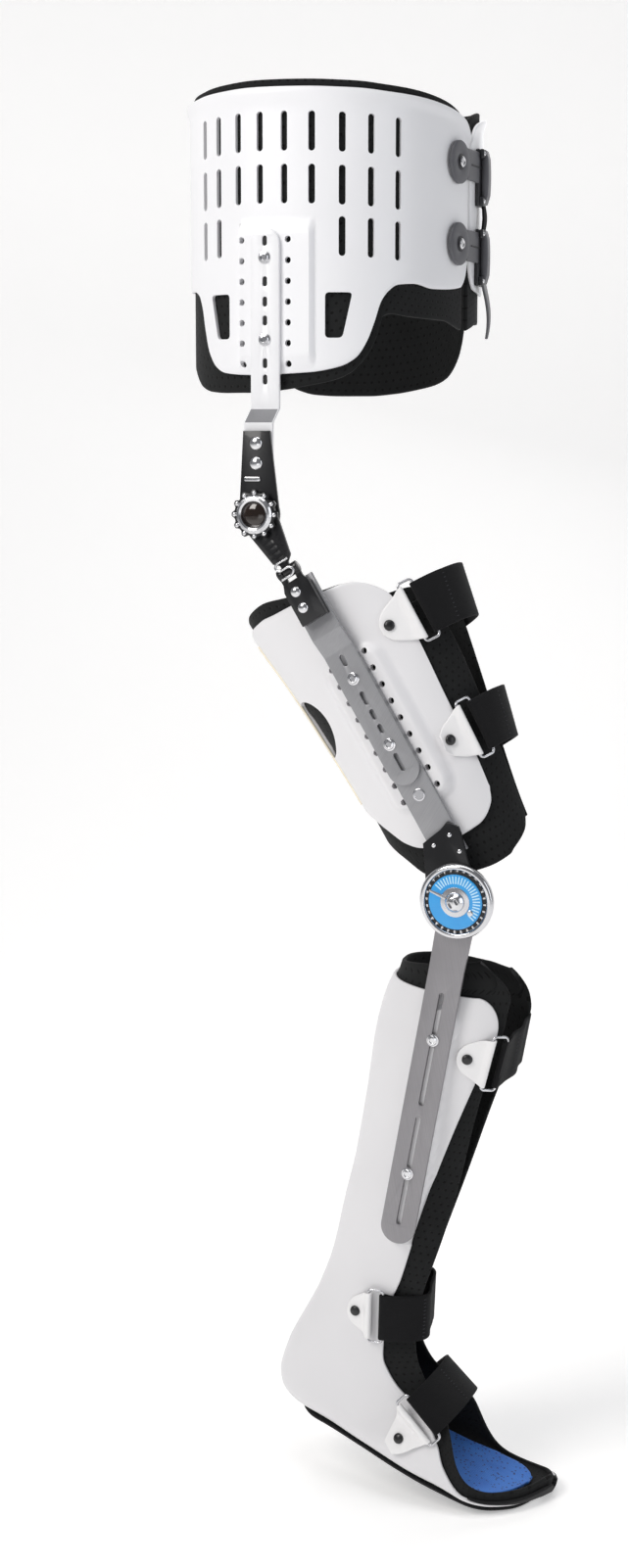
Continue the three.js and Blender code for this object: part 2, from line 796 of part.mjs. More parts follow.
// Thigh sections: place down the thigh as a share of its length, the middle ahead of the bar
// and the half depth as shares of the thigh's depth, the half width as a share of its width.
const thighSections = table(['down', 'ahead', 'deep', 'wide'], [
  [0.14, 0.03, 0.545, 0.52],
  [0.23, 0.027, 0.53, 0.51],
  [0.355, 0.025, 0.49, 0.49],
  [0.59, 0.005, 0.42, 0.455],
  [0.73, -0.017, 0.38, 0.43],
  [0.91, -0.045, 0.35, 0.41],
  [1, -0.05, 0.345, 0.4],
]);
const thighAhead = along(thighSections, 'down', 'ahead');
const thighDeep = along(thighSections, 'down', 'deep');
const thighWide = along(thighSections, 'down', 'wide');

// A point on the thigh: degrees from straight ahead by way of the outer side.
function thighSkin(angle, down, out) {
  const share = down / thighLength;
  const wide = thighWide(share) * thighWidth;
  const middle = -legSide + wide;
  const a = radians(angle);
  const x = thighAhead(share) * thighDepth + (thighDeep(share) * thighDepth + out) * Math.cos(a);
  return [x, middle - (wide + out) * Math.sin(a), -down];
}

// Cuff outline: share of the way round from the outer front edge to the inner front edge,
// then the top, the bottom and the liner's bottom as shares of the cuff's height.
const cuffOutline = table(['round', 'top', 'bottom', 'liner'], [
  [0, 0.2, 0.9, 1.13],
  [0.012, 0.12, 0.945, 1.14],
  [0.075, 0.02, 0.995, 1.145],
  [0.13, 0.005, 1, 1.135],
  [0.19, -0.01, 0.995, 1.12],
  [0.25, -0.02, 0.975, 1.096],
  [0.3, -0.03, 0.93, 1.06],
  [0.345, -0.03, 0.86, 0.99],
  [0.4, -0.02, 0.79, 0.93],
  [0.46, 0, 0.755, 0.88],
  [0.58, 0.04, 0.755, 0.87],
  [0.65, 0.06, 0.8, 0.91],
  [0.72, 0.08, 0.88, 0.98],
  [0.88, 0.12, 0.97, 1.08],
  [0.94, 0.15, 0.965, 1.08],
  [0.98, 0.2, 0.945, 1.07],
  [1, 0.27, 0.9, 1.05],
]);

// Front edges: share of the cuff's height, then degrees from straight ahead.
const cuffEdges = table(['down', 'outer', 'liner'], [
  [0, 58, 44],
  [0.15, 54, 38],
  [0.35, 51, 26],
  [0.6, 47, 17],
  [0.8, 40, 9],
  [1, 38, 6],
  [1.15, 38, 8],
]);
const innerEdge = 306;
const innerLinerEdge = 322;

const cuffRows = 4;
const cuffHeight = cuffBottom - cuffTop;
const shellEdge = along(cuffEdges, 'down', 'outer');
const linerEdge = along(cuffEdges, 'down', 'liner');

const linerCorner = 1.04;

// How far down the cuff a row of a column lies; the rows and columns past the ends belong
// to the liner.
function cuffDown(column, row) {
  const { round, top, bottom, liner } = cuffOutline[Math.min(Math.max(column, 0), cuffOutline.length - 1)];
  const corner = column < 0 ? linerCorner : liner;
  if (row < 0) return cuffTop + top * cuffHeight - linerAbove(round);
  if (row > cuffRows) return cuffTop + corner * cuffHeight;
  return cuffTop + mix(top, bottom, row / cuffRows) * cuffHeight;
}

// The angle of a column at a height; the columns past the ends belong to the liner.
function cuffAngle(column, down) {
  const share = (down - cuffTop) / cuffHeight;
  if (column < 0) return linerEdge(share);
  if (column >= cuffOutline.length) return innerLinerEdge;
  return mix(shellEdge(share), innerEdge, cuffOutline[column].round);
}

function linerAbove(round) {
  return mix(0.6, 12, Math.min(Math.max((round - 0.12) / 0.14, 0), 1));
}

function cuffWallGeometry(border, out, thick) {
  const columns = cuffOutline.length - 1 + 2 * border;
  const rows = cuffRows + 2 * border;
  const skin = (depth) => (i, j) => {
    const down = cuffDown(i - border, j - border);
    return thighSkin(cuffAngle(i - border, down), down, depth);
  };
  return wall(columns, rows, skin(out), skin(out - thick));
}

// Raised channel on the cuff that carries the bars, flat on its outer face.
function cuffChannel() {
  const half = channelWidth / 2;
  const corner = half * 0.55;
  const shape = new THREE.Shape();
  shape.moveTo(-half, -channelBottom + corner);
  shape.absarc(-half + corner, -channelBottom + corner, corner, Math.PI, Math.PI * 1.5, false);
  shape.absarc(half - corner, -channelBottom + corner, corner, Math.PI * 1.5, Math.PI * 2, false);
  shape.absarc(half - corner, -channelTop - corner, corner, 0, Math.PI / 2, false);
  shape.absarc(-half + corner, -channelTop - corner, corner, Math.PI / 2, Math.PI, false);
  const block = solid(sidePlate(shape, [legSide - 16, padFace], 2));
  const core = cuffWallGeometry(0, -cuffWall / 2, 40);
  return block.subtract(solid(core));
}

const thighLaceCount = 9;
const thighLaceTop = 138;

function thighLaceCutters() {
  const cutters = [];
  for (const side of [-1, 1]) {
    for (let hole = 0; hole < thighLaceCount; hole += 1) {
      const shape = new THREE.Shape(circle(laceHole / 2).getPoints(2).slice(0, 4));
      const geometry = sidePlate(shape, [legSide - 20, padFace + 2]);
      geometry.translate((side * thighLaceSpread) / 2, 0, -thighLaceTop - hole * thighLacePitch);
      cutters.push(solid(geometry));
    }
  }
  return cutters;
}

// The oval opening at the back of the cuff.
const ovalDown = 172;
const ovalAngle = 150;
const ovalLong = 54;
const ovalShort = 50;

function ovalCutter() {
  const shape = new THREE.Shape();
  shape.absellipse(0, 0, ovalShort / 2, ovalLong / 2, 0, 2 * Math.PI, false, 0);
  const depth = 60;
  const geometry = new THREE.ExtrudeGeometry(shape, { depth, bevelEnabled: false, curveSegments: 4 });
  const from = new THREE.Vector3(...thighSkin(ovalAngle, ovalDown, -depth / 2));
  const to = new THREE.Vector3(...thighSkin(ovalAngle, ovalDown, depth / 2));
  const out = to.sub(from).normalize();
  const side = new THREE.Vector3().crossVectors(upwards, out).normalize();
  return solid(placed(geometry, from, side, new THREE.Vector3().crossVectors(out, side), out));
}

function thighShell() {
  const base = solid(cuffWallGeometry(0, 0, cuffWall));
  return geometryOf(cut(base.add(cuffChannel()), [...thighLaceCutters(), ovalCutter()]));
}

const shellOf = { thigh: thighShell(), thighLiner: cuffWallGeometry(1, -cuffWall - fit, linerWall) };
piece('thigh_shell', shellOf.thigh, 'shell', thigh);
piece('thigh_liner', shellOf.thighLiner, 'liner', thigh);

// Knee: a plate on the lower bar, the dial's housing, its blue face and the knob.
const kneeFace = kneePlate[1] + fit;

function kneePlateBody() {
  const half = kneePlateWidth / 2;
  const shape = new THREE.Shape();
  shape.moveTo(3, -kneePlateTop - 3);
  shape.lineTo(-half + 1, -kneePlateTop - 6);
  shape.absarc(-kneeBack, -thighLength, dialRadius - 4, Math.PI * 0.8, Math.PI * 2.2, false);
  shape.lineTo(half + 1, -kneePlateTop - 8);
  shape.lineTo(half - 6, -kneePlateTop);
  shape.closePath();
  return sidePlate(shape, kneePlate, 8);
}

const ringWidth = 6;
function kneeHousing() {
  const profile = [
    [0, 0], [dialRadius, 0], [dialRadius, dialDepth - 2], [dialRadius - 2, dialDepth],
    [dialRadius - ringWidth, dialDepth], [dialRadius - ringWidth - 1, dialDepth - 3], [0, dialDepth - 3],
  ];
  return turned(profile, 16, -kneeBack, kneeFace, -thighLength);
}

function kneeDial() {
  const radius = dialRadius - ringWidth - 1.6;
  const base = kneeFace + dialDepth - 3 + fit;
  const profile = [[0, 0], [radius, 0], [radius, 2.4], [radius - 0.6, 3], [0, 3]];
  return turned(profile, 16, -kneeBack, base, -thighLength);
}

function kneeKnob() {
  const base = kneeFace + dialDepth + 2 * fit;
  return turned([[0, 0], [7, 0], [7, 3], [4.5, 5.5], [0, 5.5]], 12, -kneeBack, base, -thighLength);
}

piece('knee_plate', kneePlateBody(), 'plate', thigh);
piece('knee_housing', kneeHousing(), 'chrome', thigh);
piece('knee_dial', kneeDial(), 'dial', thigh);
piece('knee_knob', kneeKnob(), 'chrome', thigh);

// Shank bar: a round head behind the knee plate, a slotted bar on the leg shell.
const shankSlots = [[81, 118], [127, 180], [190, 236], [246, 287]];

function shankBar() {
  const half = shankBarWidth / 2;
  const head = dialRadius - 4;
  const shape = new THREE.Shape();
  shape.absarc(0, -shankBarLength + half, half, Math.PI, 2 * Math.PI, false);
  shape.absarc(0, 0, head, -Math.PI * 0.3, Math.PI * 1.3, false);
  shape.closePath();
  for (const [from, to] of shankSlots) {
    shape.holes.push(stadium(shankSlotWidth, to - from, THREE.Path, 0, -(from + to) / 2));
  }
  return sidePlate(shape, lowerBar, 2);
}

piece('shank_bar', shankBar(), 'bar', shank);
shankBolts.forEach((drop, index) => {
  const bolt = turned(dome(boltRadius, boltHeight), 8, 0, lowerBar[1] + fit, -drop);
  piece(`shank_bar_bolt_${index + 1}`, bolt, 'chrome', shank);
});

// Leg sections, each a line from the back or sole to the front edge of the side wing.
// Places ahead are shares of the foot's length and places down are shares of the knee's
// height over the sole; half depth is a share of the foot's length, half width of the leg's
// width; square is the section's squareness, aside its shift and pad the liner's margin, as
// shares of the foot's length; drop is how much lower the inner wing ends, as a share of
// the knee's height.
const legColumns = [
  'backAhead', 'backDown', 'edgeAhead', 'edgeDown', 'wide', 'deep', 'square', 'aside', 'pad', 'drop',
];
const legSections = table(legColumns, [
  [-0.244, 0.182, 0.112, 0.162, 0.485, 0.272, 2.2, 0, 0.1, 0.05],
  [-0.254, 0.2, 0.172, 0.184, 0.495, 0.28, 2.2, 0, 0.04, 0.05],
  [-0.262, 0.224, 0.188, 0.214, 0.5, 0.284, 2.2, 0, 0.024, 0.042],
  [-0.27, 0.284, 0.156, 0.29, 0.5, 0.276, 2.2, 0, 0.028, 0.02],
  [-0.262, 0.41, 0.104, 0.41, 0.465, 0.264, 2.2, 0, 0.06, 0],
  [-0.262, 0.5, 0.068, 0.504, 0.43, 0.26, 2.2, 0, 0.088, 0],
  [-0.274, 0.6, 0.036, 0.6, 0.385, 0.252, 2.2, 0, 0.096, 0],
  [-0.282, 0.69, 0.012, 0.692, 0.35, 0.24, 2.2, 0, 0.088, 0],
  [-0.308, 0.77, -0.016, 0.764, 0.33, 0.25, 2.2, 0, 0.096, 0],
  [-0.384, 0.896, -0.004, 0.842, 0.315, 0.33, 2.5, 0, 0.11, 0],
  [-0.396, 0.944, 0.028, 0.87, 0.315, 0.37, 2.7, 0, 0.11, 0],
  [-0.372, 0.974, 0.076, 0.892, 0.32, 0.38, 3.4, 0, 0.096, 0],
  [-0.304, 0.992, 0.124, 0.904, 0.33, 0.37, 4.2, 0, 0.088, 0],
  [-0.18, 1, 0.172, 0.914, 0.35, 0.32, 5, 0, 0.08, 0],
  [-0.02, 1.01, 0.22, 0.928, 0.39, 0.25, 6, -0.01, 0.056, 0],
  [0.14, 1.022, 0.264, 0.95, 0.43, 0.19, 6, -0.02, 0.052, 0],
  [0.26, 1.03, 0.304, 0.984, 0.448, 0.14, 5, -0.024, 0.06, 0],
  [0.388, 1.039, 0.388, 1.026, 0.445, 0.056, 4, -0.022, 0.052, 0],
  [0.46, 1.043, 0.46, 1.031, 0.415, 0.056, 4, -0.01, 0.04, 0],
  [0.524, 1.042, 0.524, 1.03, 0.355, 0.056, 4, 0.012, 0.032, 0],
  [0.576, 1.038, 0.576, 1.026, 0.275, 0.056, 4, 0.036, 0.028, 0],
  [0.612, 1.034, 0.612, 1.022, 0.18, 0.056, 4, 0.06, 0.028, 0],
  [0.634, 1.031, 0.634, 1.019, 0.09, 0.056, 4, 0.072, 0.028, 0],
]);
// The liner starts above the shell's top edge with two rows of its own.
const linerTopSections = table(legColumns, [
  [-0.236, 0.156, 0.1, 0.104, 0.48, 0.264, 2.2, 0, 0, 0.056],
  [-0.24, 0.17, 0.188, 0.134, 0.482, 0.272, 2.2, 0, 0, 0.052],
]);
const legMiddle = -legSide + legWidth / 2;

// Works out a section's line, and how squarely it meets the back or the sole.
function legSection(rows, index) {
  const point = (row) => new THREE.Vector2(row.backAhead * footLength, -row.backDown * kneeToSole);
  const row = rows[index];
  const back = point(row);
  const edge = new THREE.Vector2(row.edgeAhead * footLength, -row.edgeDown * kneeToSole);
  const reach = edge.distanceTo(back);
  const direction = edge.clone().sub(back).normalize();
  const before = point(rows[Math.max(index - 1, 0)]);
  const after = point(rows[Math.min(index + 1, rows.length - 1)]);
  const tangent = after.sub(before).normalize();
  const facing = Math.abs(direction.x * tangent.y - direction.y * tangent.x);
  return {
    back, direction, reach, facing,
    wide: row.wide * legWidth,
    deep: row.deep * footLength,
    square: row.square,
    aside: row.aside * footLength,
    pad: row.pad * footLength,
    drop: row.drop * kneeToSole,
  };
}

const legTable = [...linerTopSections, ...legSections];
const legRows = legTable.map((row, index) => legSection(legTable, index));
const shellStart = linerTopSections.length;
const innerPadding = 0.4;

// A point on the outer skin of a section: the turn runs from -1 at the outer wing's edge to
// 1 at the inner one, and on to the liner's edge at 2.
function legPoint(section, turn) {
  const share = Math.abs(turn);
  const pad = section.pad * (turn > 0 ? innerPadding : 1);
  const reach = section.reach + pad * Math.max(share - 1, 0);
  const { deep, square } = section;
  const past = Math.min(Math.max((reach - deep) / deep, -0.99), 0.98);
  const limit = past > 0 ? Math.PI / 2 + Math.asin(past) : Math.acos((-past) ** (square / 2));
  const angle = Math.min(share, 1) * limit;
  const [c, s] = [Math.cos(angle), Math.sin(angle)];
  const power = 2 / (c >= 0 ? square : 2);
  const depth = deep * (1 - Math.sign(c) * Math.abs(c) ** power);
  const aside = Math.sign(turn) * section.wide * Math.abs(s) ** power;
  const lower = section.drop * Math.min(Math.max(turn, 0), 1) ** 1.5;
  const x = section.back.x + section.direction.x * depth;
  const z = section.back.y + section.direction.y * depth - lower;
  return new THREE.Vector3(x, legMiddle + section.aside + aside, z);
}

// The skin's outward direction at a row and turn.
function legNormal(row, turn) {
  const before = legPoint(legRows[Math.max(row - 1, 0)], turn);
  const after = legPoint(legRows[Math.min(row + 1, legRows.length - 1)], turn);
  const step = 0.08;
  const round = legPoint(legRows[row], turn + step).sub(legPoint(legRows[row], turn - step));
  const normal = after.sub(before).cross(round).normalize();
  const section = legRows[row];
  const middle = section.back.clone().addScaledVector(section.direction, section.deep);
  const outwards = legPoint(section, turn);
  outwards.sub(new THREE.Vector3(middle.x, legMiddle + section.aside, middle.y));
  return normal.dot(outwards) < 0 ? normal.negate() : normal;
}

const legTurns = [-1, -0.82, -0.62, -0.42, -0.2, 0, 0.2, 0.42, 0.62, 0.82, 1];
const linerTurns = [-2, ...legTurns, 2];

function legWallGeometry(turns, first, last, inward, thick) {
  const skin = (depth) => (i, j) => {
    const row = first + j;
    const point = legPoint(legRows[row], turns[i]);
    return point.addScaledVector(legNormal(row, turns[i]), -depth).toArray();
  };
  return wall(turns.length - 1, last - first, skin(inward), skin(inward + thick));
}

// Flat pad on the shell under the shank bar.
const legPadWidth = 31;
function legPad() {
  const half = legPadWidth / 2;
  const shape = new THREE.Shape();
  const end = -shankBarLength - 4;
  shape.absarc(0, end + half, half, Math.PI, 2 * Math.PI, false);
  shape.lineTo(half, -kneeToSole * 0.19);
  shape.lineTo(-half, -kneeToSole * 0.19);
  shape.closePath();
  const block = solid(sidePlate(shape, [legSide - 20, padFace], 3));
  return block.subtract(solid(legWallGeometry(linerTurns, shellStart, shellStart + 8, legWall / 2, 24)));
}

// Ventilation slots across the back of the calf.
const ventDrops = [0.37, 0.41, 0.45];
const ventLength = 26;
const ventWidth = 6;

function ventCutters() {
  return ventDrops.map((share) => {
    const shape = stadium(ventWidth, ventLength, THREE.Shape);
    const depth = 60;
    const geometry = new THREE.ExtrudeGeometry(shape, { depth, bevelEnabled: false, curveSegments: 3 });
    const from = new THREE.Vector3(-0.4 * footLength, legMiddle, -share * kneeToSole);
    return solid(placed(geometry, from, upwards, inwards.clone().negate(), forwards));
  });
}

function legShell() {
  const base = solid(legWallGeometry(legTurns, shellStart, legRows.length - 1, 0, legWall));
  return geometryOf(cut(base.add(legPad()), ventCutters()));
}

shellOf.leg = legShell();
piece('leg_shell', shellOf.leg, 'shell', shank);
const lastRow = legRows.length - 1;
shellOf.legLiner = legWallGeometry(linerTurns, 0, lastRow, legWall + fit, linerWall);
piece('leg_liner', shellOf.legLiner, 'liner', shank);

// Plates along the sole, inside and under it, as wide as a share of the shell's floor.
function solePlate(from, to, steps, lift, thick, margins, heelRound) {
  const floor = legSections.filter((row) => row.backDown > 0.97);
  const down = along(floor, 'backAhead', 'backDown');
  const wide = along(floor, 'backAhead', 'wide');
  const aside = along(floor, 'backAhead', 'aside');
  const skin = (height) => (i, j) => {
    const place = mix(from, to, (1 - Math.cos((Math.PI * i) / steps)) / 2);
    const heel = Math.min((place - from) / heelRound, 1);
    const round = Math.sqrt(Math.max(1 - (1 - heel) ** 2, 0.08));
    const margin = mix(margins[0], margins[1], Math.min(Math.max((place - 0.3) / 0.1, 0), 1));
    const half = Math.max(wide(place) * legWidth - margin, 3) * round;
    const y = legMiddle + aside(place) * footLength + (j === 0 ? -half : half);
    return [place * footLength, y, -down(place) * kneeToSole + height];
  };
  return wall(steps, 1, skin(lift), skin(lift + thick));
}

const insoleThick = 2.5;
const insoleLift = legWall + linerWall + 7 * fit;
piece('insole', solePlate(-0.29, 0.556, 14, insoleLift, insoleThick, [17, 13.5], 0.14), 'insole', shank);
piece('outsole', solePlate(-0.29, 0.6, 14, -2, 1.4, [8, 8], 0.1), 'black', shank);

// A strap's frame: the place of the wire loop, the way the strap leaves it and the way
// its width runs, all on the leg's skin.
function frameAt(point, along1, width) {
  const go = along1.clone().normalize();
  const across = width.clone().addScaledVector(go, -width.dot(go)).normalize();
  const out = new THREE.Vector3().crossVectors(across, go).normalize();
  return { point, go, across, out };
}

function eye(frame, at, length, radius, sides) {
  const profile = [[0, -length / 2], [radius, -length / 2], [radius, length / 2], [0, length / 2]];
  const points = profile.map(([r, rise]) => new THREE.Vector2(r, rise));
  const geometry = new THREE.LatheGeometry(points, sides);
  const origin = frame.point.clone().addScaledVector(frame.go, at);
  return solid(placed(geometry, origin, frame.go, frame.across, frame.out.clone().negate()));
}

// The wire loop: a rounded rectangle of wire through the tab's eye and the strap's eye.
const loopMargin = 3;
function wireLoop(frame, width) {
  const half = width / 2 + loopMargin;
  const corner = 2.5;
  const sides = 5;
  const path = [];
  const turns = [[1, 1, 0], [-1, 1, 90], [-1, -1, 180], [1, -1, 270]];
  for (const [a, b, start] of turns) {
    for (const step of [0, 1]) {
      const angle = radians(start + 90 * step);
      const x = loopReach / 2 + a * (loopReach / 2 - corner) + corner * Math.cos(angle);
      const y = b * (half - corner) + corner * Math.sin(angle);
      path.push([x, y, radians(start + 90 * step)]);
    }
  }
  const position = [];
  path.forEach(([x, y, angle], index) => {
    const before = path[(index + 7) % 8];
    const after = path[(index + 1) % 8];
    const tangent = new THREE.Vector2(after[0] - before[0], after[1] - before[1]).normalize();
    for (let side = 0; side < sides; side += 1) {
      const around = (2 * Math.PI * side) / sides;
      const spread = wire * Math.cos(around);
      const point = frame.point.clone()
        .addScaledVector(frame.go, x + tangent.y * spread)
        .addScaledVector(frame.across, y - tangent.x * spread)
        .addScaledVector(frame.out, wire * Math.sin(around));
      position.push(...point.toArray());
    }
  });
  const index = [];
  for (let i = 0; i < 8; i += 1) {
    for (let side = 0; side < sides; side += 1) {
      const next = (side + 1) % sides;
      const far = ((i + 1) % 8) * sides;
      const near = i * sides;
      index.push(near + side, near + next, far + next, near + side, far + next, far + side);
    }
  }
  if (volumeOf(position, index) < 0) index.reverse();
  const geometry = new THREE.BufferGeometry();
  geometry.setAttribute('position', new THREE.Float32BufferAttribute(position, 3));
  geometry.setIndex(index);
  return geometry;
}

// How far the outermost of some shells stands over a skin at a turn and place.
function riseOver(skin, shells) {
  const material = new THREE.MeshBasicMaterial({ side: THREE.DoubleSide });
  const targets = shells.map((shell) => new THREE.Mesh(shell, material));
  const caster = new THREE.Raycaster();
  const above = 30;
  const below = 14;
  caster.far = above + below;
  return (turn, place) => {
    const base = new THREE.Vector3(...skin(turn, place, 0));
    const outwards = new THREE.Vector3(...skin(turn, place, 1)).sub(base).normalize();
    caster.set(base.clone().addScaledVector(outwards, above), outwards.clone().negate());
    const [hit] = caster.intersectObjects(targets);
    return hit ? above - hit.distance : -below;
  };
}

// One fastening: a tab riveted to the shell, a wire loop, and a strap round the leg's front
// to the shell's inner side. The skin gives a point for a turn, a place and a lift.
const bore = wire + fit;
const eyeRadius = bore + eyeWall;
const tabLift = fit;
const tabSteps = 4;
const tabNarrow = 0.42;
const rivetInset = 7.5;
const strapSteps = 12;

function fastening(name, group, spec) {
  const { skin, loopTurn, turnPerMm, down, width, tabLength, endTurn, rest } = spec;
  const rise = riseOver(skin, spec.shells);
  const point = (turn, place, out) => new THREE.Vector3(...skin(turn, place, out));
  const highest = (turn, place, reach) => {
    const spots = [-1, -0.5, 0, 0.5, 1].map((share) => rise(turn + share * reach * turnPerMm, place));
    return Math.max(spec.floor, ...spots);
  };

  const edges = [-1, 0, 1].map((side) => {
    const place = down + (side * width) / 2;
    return point(loopTurn, place, highest(loopTurn, place, 4 + spec.spread));
  });
  const centre = edges[0].clone().add(edges[2]).multiplyScalar(0.5);
  const across = edges[2].clone().sub(edges[0]);
  const go = point(loopTurn + turnPerMm, down, 0).sub(point(loopTurn - turnPerMm, down, 0));
  const frame = frameAt(centre, go, across);
  const outwards = point(loopTurn, down, 1).sub(point(loopTurn, down, 0));
  if (frame.out.dot(outwards) < 0) frame.out.negate();
  const bulge = Math.max(edges[1].clone().sub(centre).dot(frame.out), 0);
  frame.point.addScaledVector(frame.out, bulge + fit + eyeRadius);
  const onFrame = (ahead, aside, out) => frame.point.clone().addScaledVector(frame.go, ahead)
    .addScaledVector(frame.across, aside).addScaledVector(frame.out, out);

  const tabSkin = (out) => (i, j) => {
    const share = i / tabSteps;
    const half = (width / 2) * mix(tabNarrow, 1, share) * (j - 1);
    if (i === tabSteps) return onFrame(0, half, out - tabThick / 2).toArray();
    const turn = loopTurn - turnPerMm * tabLength * (1 - share);
    const clear = Math.max(...[-5, 0, 5].map((side) => highest(turn, down + half + side, 3)));
    return skin(turn, down + half, clear + tabLift - spec.seat + out);
  };
  const plate = solid(wall(tabSteps, 2, tabSkin(tabThick), tabSkin(0)));
  const eyed = plate.add(eye(frame, 0, width - 2, eyeRadius, 6));
  const tab = geometryOf(eyed.subtract(eye(frame, 0, 2 * width, bore, 6)));
  piece(`${name}_tab`, tab, 'shell', group);

  piece(`${name}_loop`, wireLoop(frame, width), 'chrome', group);

  const rivetTurn = loopTurn - turnPerMm * (tabLength - rivetInset);
  const overTab = riseOver(skin, [tab]);
  const rivetSpots = [[-1, 0], [1, 0], [0, -1], [0, 1], [0, 0]].map(([round, aside]) => {
    const turn = rivetTurn + round * rivetRadius * turnPerMm;
    const place = down + aside * rivetRadius;
    return point(turn, place, overTab(turn, place));
  });
  const [back, ahead, above, below, rivetBase] = rivetSpots;
  const rivetOut = ahead.clone().sub(back).cross(below.clone().sub(above)).normalize();
  if (rivetOut.dot(outwards) < 0) rivetOut.negate();
  const proud = Math.max(...rivetSpots.map((spot) => spot.clone().sub(rivetBase).dot(rivetOut)));
  rivetBase.addScaledVector(rivetOut, proud + fit);
  const rivetSide = new THREE.Vector3().crossVectors(rivetOut, frame.across).normalize();
  const points = dome(rivetRadius, rivetHeight).map(([r, height]) => new THREE.Vector2(r, height));
  const rivet = placed(new THREE.LatheGeometry(points, 8), rivetBase, rivetSide, rivetOut,
    new THREE.Vector3().crossVectors(rivetSide, rivetOut));
  piece(`${name}_rivet`, rivet, 'black', group);

  const start = loopTurn + turnPerMm * loopReach;
  const step = (endTurn - start) / strapSteps;
  const stepLength = step / turnPerMm;
  const settleSteps = 2;
  const strapSkin = (out) => (i, j) => {
    const aside = ((width - 2) / 2) * (j === 0 ? -1 : 1);
    const fromFrame = onFrame(loopReach + i * stepLength, aside, out - strapThick / 2);
    if (i === 0) return fromFrame.toArray();
    const turn = start + i * step;
    const clear = Math.max(...[-1, 0, 1].map((side) =>
      highest(turn, down + side * Math.abs(aside), stepLength * 0.8)));
    const lift = Math.max(rest, clear + spec.strapClear) + out;
    return point(turn, down + aside, lift).lerp(fromFrame, Math.max(1 - i / settleSteps, 0)).toArray();
  };
  const band = solid(wall(strapSteps, 1, strapSkin(strapThick), strapSkin(0)));
  const strap = band.add(eye(frame, loopReach, width - 4, eyeRadius, 6))
    .subtract(eye(frame, loopReach, 2 * width, bore, 6));
  piece(`${name}_strap`, geometryOf(strap), 'strap', group);
}

const thighFastenings = [
  { name: 'thigh_upper', down: cuffTop + 52, width: 46, loopTurn: 50, tabLength: 29, rest: 2 },
  { name: 'thigh_lower', down: cuffBottom - 71, width: 44, loopTurn: 42, tabLength: 25, rest: 5 },
];
for (const { name, ...spec } of thighFastenings) {
  const radius = thighDeep(spec.down / thighLength) * thighDepth;
  fastening(name, thigh, {
    ...spec, skin: thighSkin, turnPerMm: -180 / Math.PI / radius,
    endTurn: innerEdge - 360 - 22, floor: 0, seat: 0, spread: 0, strapClear: 1.3,
    shells: [shellOf.thigh, shellOf.thighLiner],
  });
}

// A skin round the leg at a place down the shank, for straps: degrees from straight ahead
// by way of the outer side, on an oval fitted to the leg there. Place ahead and half depth
// are shares of the foot's length, place down a share of the knee's height over the sole,
// and half width a share of the leg's width.
function ovalSkin(spec) {
  const ahead = spec.ahead * footLength;
  const top = spec.top * kneeToSole;
  const deep = spec.deep * footLength;
  const wide = spec.wide * legWidth;
  const a = radians(spec.lean);
  const go = new THREE.Vector2(Math.cos(a), Math.sin(a));
  return (turn, place, out) => {
    const angle = radians(turn);
    const forward = (deep + out) * Math.cos(angle);
    const x = ahead + go.x * forward + go.y * place;
    const z = -top + go.y * forward - go.x * place;
    return [x, legMiddle - (wide + out) * Math.sin(angle), z];
  };
}

const legFastenings = [
  { name: 'calf', seat: 0, spread: 0, width: 44, loopTurn: 46, tabLength: 22, endTurn: -70, rest: -2.4,
    ahead: -0.032, top: 0.266, lean: 0, deep: 0.256, wide: 0.4914 },
  { name: 'ankle', seat: 0, spread: 6, width: 42, loopTurn: 84, tabLength: 20, endTurn: -116, rest: -2.4,
    ahead: -0.092, top: 0.772, lean: 8, deep: 0.188, wide: 0.3448 },
  { name: 'instep', seat: 0.6, spread: 0, width: 40, loopTurn: 86, tabLength: 24, endTurn: -112, rest: -2.4,
    ahead: 0.168, top: 0.932, lean: 57, deep: 0.128, wide: 0.4397 },
];
for (const { name, ...spec } of legFastenings) {
  fastening(name, shank, {
    ...spec, skin: ovalSkin(spec), turnPerMm: -180 / Math.PI / (spec.deep * footLength),
    down: 0, floor: -3.4, strapClear: 2.2, shells: [shellOf.leg, shellOf.legLiner],
  });
}

export default pelvis;
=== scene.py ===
# %% [markdown]
# A hip, knee, ankle and foot orthosis for the right leg: two white plastic pelvic shells, a
# hip hinge, a thigh cuff, a knee hinge with a blue dial and a leg shell with a foot plate.
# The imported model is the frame. Hard skins are made again from the same outlines with many
# more points, so that they read as moulded plastic, and each new piece rides on its body.

# %% Load the frame
import math

import bmesh
import bpy
import numpy as np
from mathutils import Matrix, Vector
from mathutils.bvhtree import BVHTree


